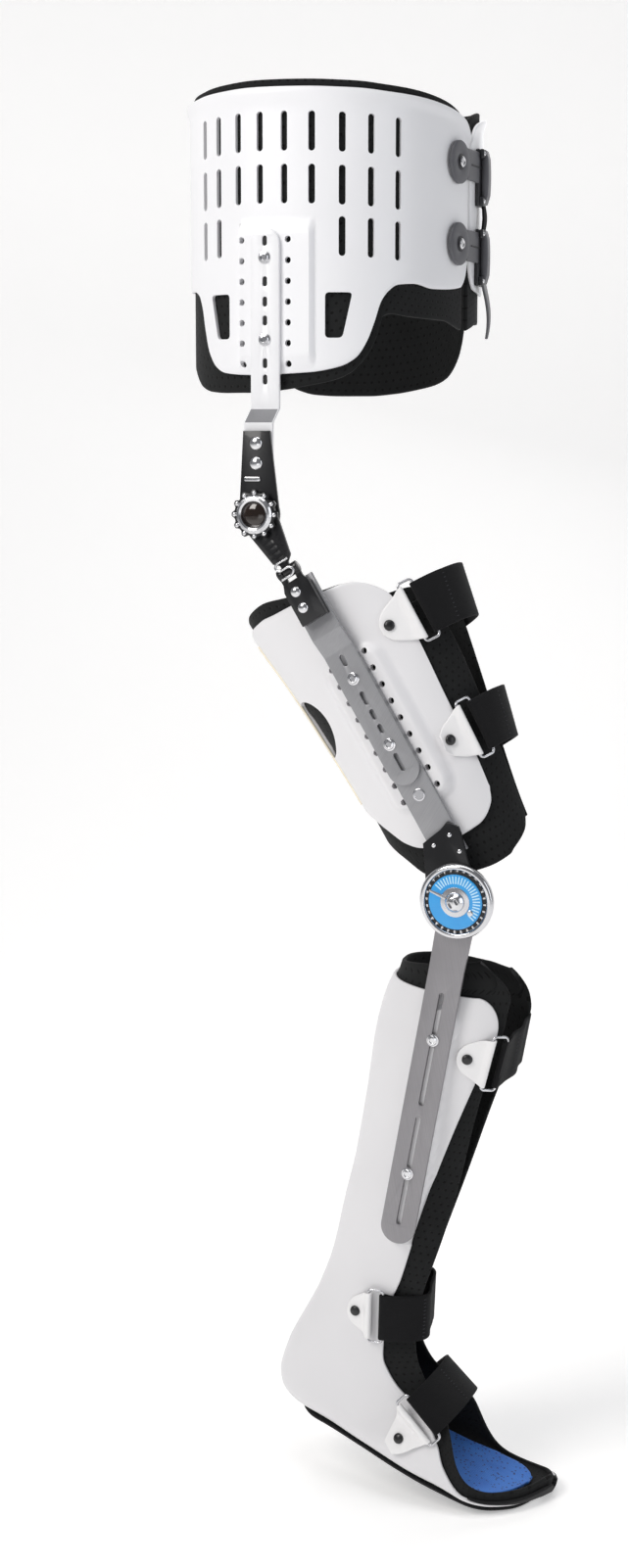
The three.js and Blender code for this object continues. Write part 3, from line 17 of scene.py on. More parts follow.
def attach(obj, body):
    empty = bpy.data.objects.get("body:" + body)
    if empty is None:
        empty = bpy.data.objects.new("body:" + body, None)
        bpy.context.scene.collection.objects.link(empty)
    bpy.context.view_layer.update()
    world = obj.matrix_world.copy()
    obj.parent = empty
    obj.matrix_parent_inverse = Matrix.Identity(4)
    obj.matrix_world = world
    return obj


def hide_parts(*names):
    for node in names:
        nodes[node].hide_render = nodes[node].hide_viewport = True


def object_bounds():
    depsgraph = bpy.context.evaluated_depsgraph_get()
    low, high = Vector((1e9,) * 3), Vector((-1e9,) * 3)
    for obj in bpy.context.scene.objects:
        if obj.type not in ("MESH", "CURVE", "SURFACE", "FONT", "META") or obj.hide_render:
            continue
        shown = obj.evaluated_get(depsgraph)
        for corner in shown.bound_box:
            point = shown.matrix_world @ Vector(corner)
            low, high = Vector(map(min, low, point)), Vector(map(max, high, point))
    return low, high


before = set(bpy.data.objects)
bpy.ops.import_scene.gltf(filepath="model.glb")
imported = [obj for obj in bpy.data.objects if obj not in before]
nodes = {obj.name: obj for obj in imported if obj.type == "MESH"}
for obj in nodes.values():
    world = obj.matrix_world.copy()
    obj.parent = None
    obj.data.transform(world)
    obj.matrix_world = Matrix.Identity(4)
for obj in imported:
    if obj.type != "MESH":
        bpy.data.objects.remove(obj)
cad_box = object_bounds()
MM = 0.001
print("CAD nodes:", len(nodes))

# %% [markdown]
# The camera stands at the outer side, 22 degrees round to the front and 9 degrees up.
# Its lens gives the photograph's perspective: 2300 pixels of focal length for a picture
# 1601 pixels high, on a sensor 36 mm long.

# %% Camera
camera_data = bpy.data.cameras.new("camera")
camera = bpy.data.objects.new("camera", camera_data)
bpy.context.scene.collection.objects.link(camera)
bpy.context.scene.camera = camera
FOCAL_PIXELS, PICTURE_HEIGHT, SENSOR = 2300, 1601, 36
camera_data.lens = FOCAL_PIXELS / PICTURE_HEIGHT * SENSOR
camera_data.sensor_width = SENSOR
azimuth, pitch = math.radians(22), math.radians(9.1)
back = Vector((
    math.sin(azimuth) * math.cos(pitch),
    -math.cos(azimuth) * math.cos(pitch),
    math.sin(pitch),
))
camera.location = (0.726, -1.853, -0.166)
camera.rotation_mode = "QUATERNION"
camera.rotation_quaternion = (-back).to_track_quat("-Z", "Y")
camera_data.clip_end = 60
print("lens", round(camera_data.lens, 2))

# %% [markdown]
# Shader groups hold the effects that several finishes share. Each is built once with named
# inputs and outputs: a slow mottle for colour, a fine grain for bump, a brushed grain for
# metal, ribs for webbing and round holes for foam. The last two read the piece's own UV
# map, in metres along the skin, because they follow the cloth and not the space round it.

# %% Helpers for shader groups
def shader_group(name, inputs, outputs):
    group = bpy.data.node_groups.new(name, "ShaderNodeTree")
    for label, kind, value in inputs:
        socket = group.interface.new_socket(label, in_out="INPUT", socket_type=kind)
        if value is not None:
            socket.default_value = value
    for label, kind in outputs:
        group.interface.new_socket(label, in_out="OUTPUT", socket_type=kind)
    start = group.nodes.new("NodeGroupInput")
    end = group.nodes.new("NodeGroupOutput")
    return group, start, end


def math_node(tree, kind, a, b=None, clamp=False):
    node = tree.nodes.new("ShaderNodeMath")
    node.operation = kind
    node.use_clamp = clamp
    for index, value in enumerate([a, b]):
        if value is None:
            continue
        if isinstance(value, (int, float)):
            node.inputs[index].default_value = value
        else:
            tree.links.new(value, node.inputs[index])
    return node.outputs[0]


# %% Mottle, grain and brushed groups
def mottle_group():
    group, start, end = shader_group(
        "slow mottle",
        [("Vector", "NodeSocketVector", None), ("Scale", "NodeSocketFloat", 20.0),
         ("Spread", "NodeSocketFloat", 0.4)],
        [("Share", "NodeSocketFloat")],
    )
    noise = group.nodes.new("ShaderNodeTexNoise")
    noise.inputs["Detail"].default_value = 5
    group.links.new(start.outputs["Vector"], noise.inputs["Vector"])
    group.links.new(start.outputs["Scale"], noise.inputs["Scale"])
    centred = math_node(group, "SUBTRACT", noise.outputs[0], 0.5)
    wide = math_node(group, "MULTIPLY", centred, start.outputs["Spread"])
    share = math_node(group, "ADD", wide, 0.5, clamp=True)
    group.links.new(share, end.inputs["Share"])
    return group


def grain_group():
    group, start, end = shader_group(
        "fine grain",
        [("Vector", "NodeSocketVector", None), ("Scale", "NodeSocketFloat", 900.0)],
        [("Height", "NodeSocketFloat"), ("Spots", "NodeSocketFloat")],
    )
    noise = group.nodes.new("ShaderNodeTexNoise")
    noise.inputs["Detail"].default_value = 3
    cells = group.nodes.new("ShaderNodeTexVoronoi")
    for node in (noise, cells):
        group.links.new(start.outputs["Vector"], node.inputs["Vector"])
        group.links.new(start.outputs["Scale"], node.inputs["Scale"])
    group.links.new(noise.outputs[0], end.inputs["Height"])
    spots = math_node(group, "LESS_THAN", cells.outputs["Distance"], 0.24)
    group.links.new(spots, end.inputs["Spots"])
    return group


def brushed_group():
    group, start, end = shader_group(
        "brushed grain",
        [("Vector", "NodeSocketVector", None), ("Scale", "NodeSocketFloat", 60.0),
         ("Lean", "NodeSocketFloat", 0.0)],
        [("Height", "NodeSocketFloat"), ("Rough", "NodeSocketFloat")],
    )
    turned = group.nodes.new("ShaderNodeVectorRotate")
    turned.rotation_type = "Y_AXIS"
    group.links.new(start.outputs["Vector"], turned.inputs["Vector"])
    group.links.new(start.outputs["Lean"], turned.inputs["Angle"])
    stretch = group.nodes.new("ShaderNodeVectorMath")
    stretch.operation = "MULTIPLY"
    stretch.inputs[1].default_value = (30, 30, 0.6)
    group.links.new(turned.outputs[0], stretch.inputs[0])
    noise = group.nodes.new("ShaderNodeTexNoise")
    noise.inputs["Detail"].default_value = 4
    group.links.new(stretch.outputs[0], noise.inputs["Vector"])
    group.links.new(start.outputs["Scale"], noise.inputs["Scale"])
    group.links.new(noise.outputs[0], end.inputs["Height"])
    rough = math_node(group, "MULTIPLY", noise.outputs[0], 0.22)
    rough = math_node(group, "ADD", rough, 0.2)
    group.links.new(rough, end.inputs["Rough"])
    return group


# %% Webbing and perforation groups
def webbing_group():
    group, start, end = shader_group(
        "webbing ribs",
        [("UV", "NodeSocketVector", None), ("Rib", "NodeSocketFloat", 0.0016)],
        [("Height", "NodeSocketFloat"), ("Share", "NodeSocketFloat")],
    )
    split = group.nodes.new("ShaderNodeSeparateXYZ")
    group.links.new(start.outputs["UV"], split.inputs[0])
    across = math_node(group, "DIVIDE", split.outputs["X"], start.outputs["Rib"])
    along = math_node(group, "DIVIDE", split.outputs["Y"], start.outputs["Rib"])
    wave_a = math_node(group, "SINE", math_node(group, "MULTIPLY", across, 2 * math.pi))
    wave_b = math_node(group, "SINE", math_node(group, "MULTIPLY", along, 2 * math.pi))
    weave = math_node(group, "MULTIPLY", wave_a, wave_b)
    fuzz = group.nodes.new("ShaderNodeTexNoise")
    fuzz.inputs["Scale"].default_value = 1500
    fuzz.inputs["Detail"].default_value = 4
    group.links.new(start.outputs["UV"], fuzz.inputs["Vector"])
    soft = math_node(group, "MULTIPLY", weave, 0.25)
    height = math_node(group, "ADD", soft, fuzz.outputs[0])
    group.links.new(height, end.inputs["Height"])
    group.links.new(fuzz.outputs[0], end.inputs["Share"])
    return group


def perforation_group():
    group, start, end = shader_group(
        "round holes",
        [("UV", "NodeSocketVector", None), ("Pitch", "NodeSocketFloat", 0.006),
         ("Hole", "NodeSocketFloat", 0.16)],
        [("Mask", "NodeSocketFloat")],
    )
    split = group.nodes.new("ShaderNodeSeparateXYZ")
    group.links.new(start.outputs["UV"], split.inputs[0])
    x = math_node(group, "DIVIDE", split.outputs["X"], start.outputs["Pitch"])
    y = math_node(group, "DIVIDE", split.outputs["Y"], start.outputs["Pitch"])
    row = math_node(group, "FLOOR", y)
    shift = math_node(group, "MULTIPLY", math_node(group, "FLOORED_MODULO", row, 2), 0.5)
    x = math_node(group, "ADD", x, shift)
    fx = math_node(group, "SUBTRACT", math_node(group, "FRACT", x), 0.5)
    fy = math_node(group, "SUBTRACT", math_node(group, "FRACT", y), 0.5)
    square = math_node(group, "ADD", math_node(group, "MULTIPLY", fx, fx),
                       math_node(group, "MULTIPLY", fy, fy))
    reach = math_node(group, "SQRT", square)
    edge = math_node(group, "SUBTRACT", start.outputs["Hole"], reach)
    mask = math_node(group, "MULTIPLY", edge, 18, clamp=True)
    group.links.new(mask, end.inputs["Mask"])
    return group


MOTTLE, GRAIN = mottle_group(), grain_group()
BRUSHED, WEBBING, HOLES = brushed_group(), webbing_group(), perforation_group()
print("shader groups:", [g.name for g in (MOTTLE, GRAIN, BRUSHED, WEBBING, HOLES)])

# %% [markdown]
# Every finish starts from one Principled shader. The helper mixes two close colours by the
# slow mottle, and adds a bump. Values that are the same all over stay on the shader's own
# sockets, because the export reads them there.

# %% Finish helpers
def linear(value):
    value /= 255
    return value / 12.92 if value <= 0.04045 else ((value + 0.055) / 1.055) ** 2.4


def colour(code):
    return (*[linear(int(code[i:i + 2], 16)) for i in (0, 2, 4)], 1.0)


class Finish:
    """One material and the nodes that its finish is made of."""

    def __init__(self, name, roughness, **sockets):
        self.material = bpy.data.materials.new(name)
        self.material.use_nodes = True
        self.tree = self.material.node_tree
        self.shader = self.tree.nodes["Principled BSDF"]
        self.shader.inputs["Roughness"].default_value = roughness
        for label, value in sockets.items():
            self.shader.inputs[label.replace("_", " ")].default_value = value
        self.place = self.tree.nodes.new("ShaderNodeTexCoord")

    def group(self, group, source="Object", **values):
        node = self.tree.nodes.new("ShaderNodeGroup")
        node.node_tree = group
        self.tree.links.new(self.place.outputs[source], node.inputs[0])
        for label, value in values.items():
            node.inputs[label].default_value = value
        return node

    def mix(self, share, first, second):
        node = self.tree.nodes.new("ShaderNodeMix")
        node.data_type = "RGBA"
        self.tree.links.new(share, node.inputs["Factor"])
        for index, value in ((6, first), (7, second)):
            if isinstance(value, str):
                node.inputs[index].default_value = colour(value)
            else:
                self.tree.links.new(value, node.inputs[index])
        return node.outputs[2]

    def paint(self, output):
        self.tree.links.new(output, self.shader.inputs["Base Color"])

    def rough(self, share, low, high):
        node = self.tree.nodes.new("ShaderNodeMapRange")
        node.inputs["To Min"].default_value = low
        node.inputs["To Max"].default_value = high
        self.tree.links.new(share, node.inputs["Value"])
        self.tree.links.new(node.outputs[0], self.shader.inputs["Roughness"])

    def bump(self, height, strength, distance):
        node = self.tree.nodes.new("ShaderNodeBump")
        node.inputs["Strength"].default_value = strength
        node.inputs["Distance"].default_value = distance
        self.tree.links.new(height, node.inputs["Height"])
        self.tree.links.new(node.outputs[0], self.shader.inputs["Normal"])


# %% [markdown]
# White polypropylene is smooth with a soft sheen and a barely visible orange peel from the
# vacuum forming. The foam inside is matte black with rows of small round holes. The straps
# are a loop pile: dark, fuzzy and without gloss.

# %% Shell plastic
def shell_finish(name, light, dark, roughness):
    finish = Finish(name, roughness, Coat_Weight=0.12, Coat_Roughness=0.25)
    mottle = finish.group(MOTTLE, Scale=14.0, Spread=0.9)
    grain = finish.group(GRAIN, Scale=420.0)
    finish.paint(finish.mix(mottle.outputs["Share"], dark, light))
    finish.rough(mottle.outputs["Share"], roughness - 0.06, roughness + 0.08)
    finish.bump(grain.outputs["Height"], 0.12, 0.0002)
    return finish.material


shell_white = shell_finish("white_polypropylene", "f3f3f5", "ebebee", 0.36)
# The thigh and leg shells get darker copies of the same white plastic: painted shade.
shell_shaded_thigh = shell_finish("thigh_polypropylene_shaded", "e9e8ea", "e0dfe1", 0.38)
shell_shaded_leg = shell_finish("leg_polypropylene_shaded", "e4e3e5", "dcdbdd", 0.4)
# Cream for a line along the thigh cuff's rear edge: painted shade.
edge_shade_paint = shell_finish("painted_edge_shade", "f4ecd9", "ece2cb", 0.45)
tab_white = shell_finish("tab_plastic", "f2f1f1", "e9e8e9", 0.42)


# %% Foam liner
def foam_finish():
    finish = Finish("perforated_foam", 0.9, Sheen_Weight=0.03, Specular_IOR_Level=0.3)
    holes = finish.group(HOLES, "UV", Pitch=0.0072, Hole=0.2)
    grain = finish.group(GRAIN, Scale=1400.0)
    mottle = finish.group(MOTTLE, Scale=35.0, Spread=1.0)
    base = finish.mix(mottle.outputs["Share"], "111212", "1b1c1d")
    finish.paint(finish.mix(holes.outputs["Mask"], base, "020202"))
    turned = math_node(finish.tree, "MULTIPLY", holes.outputs["Mask"], -1.0)
    small = math_node(finish.tree, "MULTIPLY", grain.outputs["Height"], 0.18)
    finish.bump(math_node(finish.tree, "ADD", turned, small), 0.7, 0.0006)
    return finish.material


foam_black = foam_finish()


# %% Strap webbing
def webbing_finish(name, dark, light):
    finish = Finish(name, 0.94, Sheen_Weight=0.04, Specular_IOR_Level=0.25)
    ribs = finish.group(WEBBING, "UV")
    mottle = finish.group(MOTTLE, Scale=60.0, Spread=1.2)
    pile = finish.mix(mottle.outputs["Share"], dark, light)
    finish.paint(finish.mix(ribs.outputs["Share"], pile, light))
    finish.bump(ribs.outputs["Height"], 0.6, 0.0004)
    return finish.material


webbing_black = webbing_finish("loop_webbing", "080809", "131315")
thread_black = webbing_finish("strap_thread", "2c2c2f", "3c3c40")

# %% [markdown]
# The metals: a satin aluminium with a lengthwise brushed grain for the thigh and shank bars,
# white paint on the hip bar, black plates with a soft gloss, and bright chrome for rivets,
# rings and wire.


# %% Metals and paint
def bar_finish(name, dark, light, lean, metallic):
    finish = Finish(name, 0.35, Metallic=metallic)
    brushed = finish.group(BRUSHED, Scale=55.0, Lean=lean)
    mottle = finish.group(MOTTLE, Scale=30.0, Spread=0.8)
    share = math_node(finish.tree, "MULTIPLY", brushed.outputs["Height"],
                      mottle.outputs["Share"])
    finish.paint(finish.mix(share, dark, light))
    finish.rough(brushed.outputs["Height"], 0.32, 0.5)
    finish.bump(brushed.outputs["Height"], 0.12, 0.0002)
    return finish.material


thigh_aluminium = bar_finish("satin_aluminium_thigh", "8e8e91", "b6b6b9", -0.543, 0.55)
shank_aluminium = bar_finish("satin_aluminium_shank", "878588", "aba9ac", 0.18, 0.55)


def plain_finish(name, dark, light, roughness, metallic=0.0, scale=40.0, bump=0.08, **more):
    finish = Finish(name, roughness, Metallic=metallic, **more)
    mottle = finish.group(MOTTLE, Scale=scale, Spread=1.0)
    grain = finish.group(GRAIN, Scale=1100.0)
    finish.paint(finish.mix(mottle.outputs["Share"], dark, light))
    finish.rough(mottle.outputs["Share"], roughness - 0.05, roughness + 0.06)
    finish.bump(grain.outputs["Height"], bump, 0.0002)
    return finish.material


bar_white = plain_finish("hip_bar_white_paint", "e6e6e9", "f2f2f4", 0.3, Coat_Weight=0.3)
plate_black = plain_finish("black_hinge_plate", "0f0f11", "1e1e21", 0.3, 0.3, Coat_Weight=0.25)
chrome = plain_finish("bright_chrome", "c9c9cc", "e8e8ea", 0.16, 1.0, bump=0.03)
wire_steel = plain_finish("wire_steel", "b9b9bd", "dadadd", 0.24, 1.0, bump=0.04)
rivet_black = plain_finish("black_rivet", "08080a", "161619", 0.35, 0.0, Coat_Weight=0.2)
# Near black for the inside of the hip bar's through holes: painted shade, not a part of the bar.
hole_shade_black = plain_finish("painted_hole_shade", "070708", "101012", 0.6)
closure_grey = plain_finish("grey_closure_plastic", "4e4e52", "626267", 0.42, bump=0.25)
closure_dark = plain_finish("dark_closure_plastic", "1b1b1e", "2b2b2f", 0.4, bump=0.2)
dial_blue = plain_finish("dial_blue", "2394df", "3fa9ea", 0.3, 0.0, scale=90.0, Coat_Weight=0.4)
dial_mark = plain_finish("dial_marks", "a9dcf7", "cfedfb", 0.4)
lens_brown = plain_finish("hinge_lens", "120c08", "2c1b10", 0.08, 0.2, Coat_Weight=0.8)
outsole_black = plain_finish("outsole_rubber", "111112", "1c1c1e", 0.7, bump=0.35)


# %% Insole cloth
def insole_finish():
    finish = Finish("insole_cloth", 0.85, Sheen_Weight=0.2)
    spots = finish.group(GRAIN, Scale=260.0)
    ribs = finish.group(WEBBING, "UV", Rib=0.0022)
    mottle = finish.group(MOTTLE, Scale=50.0, Spread=1.2)
    base = finish.mix(mottle.outputs["Share"], "1f60bf", "3a83dc")
    finish.paint(finish.mix(spots.outputs["Spots"], base, "16306e"))
    finish.bump(ribs.outputs["Height"], 0.5, 0.0005)
    return finish.material


insole_blue = insole_finish()
print("materials:", len(bpy.data.materials))

# %% [markdown]
# The bodies' frames. The thigh leans forwards by 31.1 degrees from the hip's axis and the
# shank back by 10.3 degrees from the knee's, as in the CAD. Sizes below are in millimetres
# in those frames, and they go to metres when a mesh is made.


# %% Frames
class Place:
    """A side-on frame: an origin in X and Z and a lean about Y, in degrees."""

    def __init__(self, x, z, lean):
        a = math.radians(lean)
        self.c, self.s, self.x, self.z = math.cos(a), math.sin(a), x, z

    def point(self, p):
        p = np.asarray(p, float)
        x = self.x + self.c * p[..., 0] + self.s * p[..., 2]
        z = self.z - self.s * p[..., 0] + self.c * p[..., 2]
        return np.stack([x, p[..., 1], z], -1)

    def turn(self, p):
        p = np.asarray(p, float)
        x = self.c * p[..., 0] + self.s * p[..., 2]
        z = -self.s * p[..., 0] + self.c * p[..., 2]
        return np.stack([x, p[..., 1], z], -1)


PELVIS = Place(0, 0, 0)
THIGH = Place(-5, -239, -31.1)
knee = THIGH.point([-13, 0, -352])
SHANK = Place(knee[0], knee[2], 10.3)
print("knee at", [round(float(v), 1) for v in knee])


def smooth_line(xs, ys):
    """A curve through the given points that never swings past them."""
    xs, ys = np.asarray(xs, float), np.asarray(ys, float)
    h = np.diff(xs)
    slope = np.diff(ys) / h
    bend = np.zeros_like(ys)
    a, b = slope[:-1], slope[1:]
    same = a * b > 0
    w1, w2 = 2 * h[1:] + h[:-1], h[1:] + 2 * h[:-1]
    safe_a, safe_b = np.where(same, a, 1), np.where(same, b, 1)
    bend[1:-1] = np.where(same, (w1 + w2) / (w1 / safe_a + w2 / safe_b), 0)
    bend[0], bend[-1] = slope[0], slope[-1]

    def at(x):
        x = np.clip(np.asarray(x, float), xs[0], xs[-1])
        k = np.clip(np.searchsorted(xs, x, side="right") - 1, 0, len(h) - 1)
        t = (x - xs[k]) / h[k]
        left = (1 + 2 * t) * (1 - t) ** 2 * ys[k] + t * (1 - t) ** 2 * h[k] * bend[k]
        right = t * t * (3 - 2 * t) * ys[k + 1] + t * t * (t - 1) * h[k] * bend[k + 1]
        return left + right

    return at


def ease(value):
    value = np.clip(value, 0, 1)
    return value * value * (3 - 2 * value)


# %% Mesh helpers
def link(name, mesh, finish, body=None, slot=None, replaces=()):
    obj = bpy.data.objects.new(name, mesh)
    bpy.context.scene.collection.objects.link(obj)
    mesh.materials.clear()
    mesh.materials.append(finish)
    if body:
        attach(obj, body)
        if replaces:
            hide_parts(*replaces)
    return obj


def soften(mesh, angle=35):
    mesh.shade_smooth()
    mesh.set_sharp_from_angle(angle=math.radians(angle))


def closed_wall(outer, inner, bulge, rounds=3):
    """A sheet with two skins and a round edge. Both skins are grids of points in mm."""
    nu, nv = outer.shape[:2]
    edge = [(i, 0) for i in range(nu)] + [(nu - 1, j) for j in range(1, nv)]
    edge += [(i, nv - 1) for i in range(nu - 2, -1, -1)] + [(0, j) for j in range(nv - 2, 0, -1)]
    ei, ej = np.array(edge).T
    middle = (outer + inner) / 2
    inside = middle[np.clip(ei, 1, nu - 2), np.clip(ej, 1, nv - 2)]
    away = middle[ei, ej] - inside
    away /= np.linalg.norm(away, axis=1, keepdims=True) + 1e-9
    half = (outer - inner)[ei, ej] / 2
    loops = []
    for step in range(1, rounds + 1):
        angle = math.pi * step / (rounds + 1)
        loops.append(middle[ei, ej] + half * math.cos(angle) + away * bulge * math.sin(angle))
    points = np.concatenate([outer.reshape(-1, 3), inner.reshape(-1, 3), *loops]) * MM
    size = nu * nv
    count = len(edge)
    faces = []
    for i in range(nu - 1):
        for j in range(nv - 1):
            a, b, c, d = i * nv + j, (i + 1) * nv + j, (i + 1) * nv + j + 1, i * nv + j + 1
            faces.append((a, b, c, d))
            faces.append((size + d, size + c, size + b, size + a))
    rows = [ei * nv + ej]
    rows += [2 * size + k * count + np.arange(count) for k in range(rounds)]
    rows.append(size + ei * nv + ej)
    for first, second in zip(rows[:-1], rows[1:]):
        for k in range(count):
            n = (k + 1) % count
            faces.append((int(first[n]), int(first[k]), int(second[k]), int(second[n])))
    a, b = outer[nu // 2 + 1, nv // 2] - outer[nu // 2, nv // 2], outer[nu // 2, nv // 2 + 1]
    b = b - outer[nu // 2, nv // 2]
    if np.dot(np.cross(a, b), (outer - inner)[nu // 2, nv // 2]) < 0:
        faces = [face[::-1] for face in faces]
    mesh = bpy.data.meshes.new("wall")
    mesh.from_pydata(points.tolist(), [], faces)
    across = np.linalg.norm(np.diff(outer[:, nv // 2], axis=0), axis=1)
    along = np.linalg.norm(np.diff(outer[nu // 2], axis=0), axis=1)
    u = np.concatenate([[0], np.cumsum(across)]) * MM
    v = np.concatenate([[0], np.cumsum(along)]) * MM
    grid = np.stack(np.meshgrid(u, v, indexing="ij"), -1).reshape(-1, 2)
    rim = np.stack([u[ei], v[ej]], -1)
    uv = np.concatenate([grid, grid] + [rim] * rounds)
    layer = mesh.uv_layers.new(name="skin")
    index = np.zeros(len(mesh.loops), int)
    mesh.loops.foreach_get("vertex_index", index)
    layer.data.foreach_set("uv", uv[index].astype(np.float32).ravel())
    soften(mesh, 60)
    return mesh


def cut_out(obj, cutters):
    """Takes the cutters' shapes out of a piece and leaves a plain mesh."""
    body = bmesh.new()
    for cutter in cutters:
        body.from_mesh(cutter.data)
    joined = bpy.data.meshes.new("cutters")
    body.to_mesh(joined)
    body.free()
    tool = bpy.data.objects.new("cutters", joined)
    bpy.context.scene.collection.objects.link(tool)
    change = obj.modifiers.new("holes", "BOOLEAN")
    change.operation, change.solver, change.object = "DIFFERENCE", "EXACT", tool
    graph = bpy.context.evaluated_depsgraph_get()
    made = bpy.data.meshes.new_from_object(obj.evaluated_get(graph))
    obj.modifiers.clear()
    obj.data = made
    for extra in [*cutters, tool]:
        bpy.data.objects.remove(extra)
    soften(made, 40)
    return obj


def loose(mesh):
    obj = bpy.data.objects.new("tool", mesh)
    bpy.context.scene.collection.objects.link(obj)
    return obj


# %% [markdown]
# Slots, lacing holes, rivets and marks repeat, so Geometry Nodes set them out. One tree
# puts a rounded slot at each point, the next a domed head and the last a row of bars round
# a circle. Each point carries two directions, outwards and upwards, as attributes.

# %% Geometry Nodes helpers
def geometry_tree(name, inputs):
    tree = bpy.data.node_groups.new(name, "GeometryNodeTree")
    tree.interface.new_socket("Geometry", in_out="INPUT", socket_type="NodeSocketGeometry")
    for label, kind, value in inputs:
        socket = tree.interface.new_socket(label, in_out="INPUT", socket_type=kind)
        if value is not None:
            socket.default_value = value
    tree.interface.new_socket("Geometry", in_out="OUTPUT", socket_type="NodeSocketGeometry")
    return tree, tree.nodes.new("NodeGroupInput"), tree.nodes.new("NodeGroupOutput")


def finish_tree(tree, start, end, geometry):
    real = tree.nodes.new("GeometryNodeRealizeInstances")
    paint = tree.nodes.new("GeometryNodeSetMaterial")
    tree.links.new(geometry, real.inputs[0])
    tree.links.new(real.outputs[0], paint.inputs["Geometry"])
    tree.links.new(start.outputs["Material"], paint.inputs["Material"])
    tree.links.new(paint.outputs[0], end.inputs[0])


def on_points(tree, start, shape):
    """Stands a shape on each point, its Z outwards and its Y upwards."""
    outward = tree.nodes.new("GeometryNodeInputNamedAttribute")
    outward.data_type = "FLOAT_VECTOR"
    outward.inputs["Name"].default_value = "outward"
    upward = tree.nodes.new("GeometryNodeInputNamedAttribute")
    upward.data_type = "FLOAT_VECTOR"
    upward.inputs["Name"].default_value = "upward"
    facing = tree.nodes.new("FunctionNodeAlignRotationToVector")
    facing.axis = "Z"
    tree.links.new(outward.outputs["Attribute"], facing.inputs["Vector"])
    standing = tree.nodes.new("FunctionNodeAlignRotationToVector")
    standing.axis = "Y"
    standing.pivot_axis = "Z"
    tree.links.new(facing.outputs[0], standing.inputs["Rotation"])
    tree.links.new(upward.outputs["Attribute"], standing.inputs["Vector"])
    stand = tree.nodes.new("GeometryNodeInstanceOnPoints")
    tree.links.new(start.outputs["Geometry"], stand.inputs["Points"])
    tree.links.new(shape, stand.inputs["Instance"])
    tree.links.new(standing.outputs[0], stand.inputs["Rotation"])
    return stand.outputs[0]


def slot_tree():
    tree, start, end = geometry_tree("slots on points", [
        ("Width", "NodeSocketFloat", 0.0055), ("Length", "NodeSocketFloat", 0.031),
        ("Depth", "NodeSocketFloat", 0.02), ("Material", "NodeSocketMaterial", None)])
    outline = tree.nodes.new("GeometryNodeCurvePrimitiveQuadrilateral")
    tree.links.new(start.outputs["Width"], outline.inputs["Width"])
    tree.links.new(start.outputs["Length"], outline.inputs["Height"])
    half = math_node(tree, "MULTIPLY", start.outputs["Width"], 0.499)
    fillet = tree.nodes.new("GeometryNodeFilletCurve")
    fillet.mode = "POLY"
    fillet.inputs["Count"].default_value = 5
    tree.links.new(outline.outputs[0], fillet.inputs["Curve"])
    tree.links.new(half, fillet.inputs["Radius"])
    fill = tree.nodes.new("GeometryNodeFillCurve")
    fill.mode = "NGONS"
    tree.links.new(fillet.outputs[0], fill.inputs[0])
    low = math_node(tree, "MULTIPLY", start.outputs["Depth"], -0.5)
    offset = tree.nodes.new("ShaderNodeCombineXYZ")
    tree.links.new(low, offset.inputs["Z"])
    drop = tree.nodes.new("GeometryNodeTransform")
    tree.links.new(fill.outputs[0], drop.inputs[0])
    tree.links.new(offset.outputs[0], drop.inputs["Translation"])
    raise_up = tree.nodes.new("GeometryNodeExtrudeMesh")
    raise_up.inputs["Individual"].default_value = False
    tree.links.new(drop.outputs[0], raise_up.inputs["Mesh"])
    tree.links.new(start.outputs["Depth"], raise_up.inputs["Offset Scale"])
    base = tree.nodes.new("GeometryNodeFlipFaces")
    tree.links.new(drop.outputs[0], base.inputs[0])
    join = tree.nodes.new("GeometryNodeJoinGeometry")
    tree.links.new(raise_up.outputs["Mesh"], join.inputs[0])
    tree.links.new(base.outputs[0], join.inputs[0])
    merge = tree.nodes.new("GeometryNodeMergeByDistance")
    merge.inputs["Distance"].default_value = 1e-6
    tree.links.new(join.outputs[0], merge.inputs[0])
    finish_tree(tree, start, end, on_points(tree, start, merge.outputs[0]))
    return tree


def head_tree():
    tree, start, end = geometry_tree("domed heads on points", [
        ("Radius", "NodeSocketFloat", 0.003), ("Height", "NodeSocketFloat", 0.5),
        ("Material", "NodeSocketMaterial", None)])
    ball = tree.nodes.new("GeometryNodeMeshUVSphere")
    ball.inputs["Segments"].default_value = 20
    ball.inputs["Rings"].default_value = 10
    tree.links.new(start.outputs["Radius"], ball.inputs["Radius"])
    flat = tree.nodes.new("ShaderNodeCombineXYZ")
    flat.inputs["X"].default_value = 1
    flat.inputs["Y"].default_value = 1
    tree.links.new(start.outputs["Height"], flat.inputs["Z"])
    press = tree.nodes.new("GeometryNodeTransform")
    tree.links.new(ball.outputs[0], press.inputs[0])
    tree.links.new(flat.outputs[0], press.inputs["Scale"])
    smooth = tree.nodes.new("GeometryNodeSetShadeSmooth")
    tree.links.new(press.outputs[0], smooth.inputs[0])
    finish_tree(tree, start, end, on_points(tree, start, smooth.outputs[0]))
    return tree


def bar_tree():
    tree, start, end = geometry_tree("bars on points", [
        ("Size", "NodeSocketVector", None), ("Material", "NodeSocketMaterial", None)])
    block = tree.nodes.new("GeometryNodeMeshCube")
    tree.links.new(start.outputs["Size"], block.inputs["Size"])
    finish_tree(tree, start, end, on_points(tree, start, block.outputs[0]))
    return tree


SLOTS, HEADS, BARS = slot_tree(), head_tree(), bar_tree()


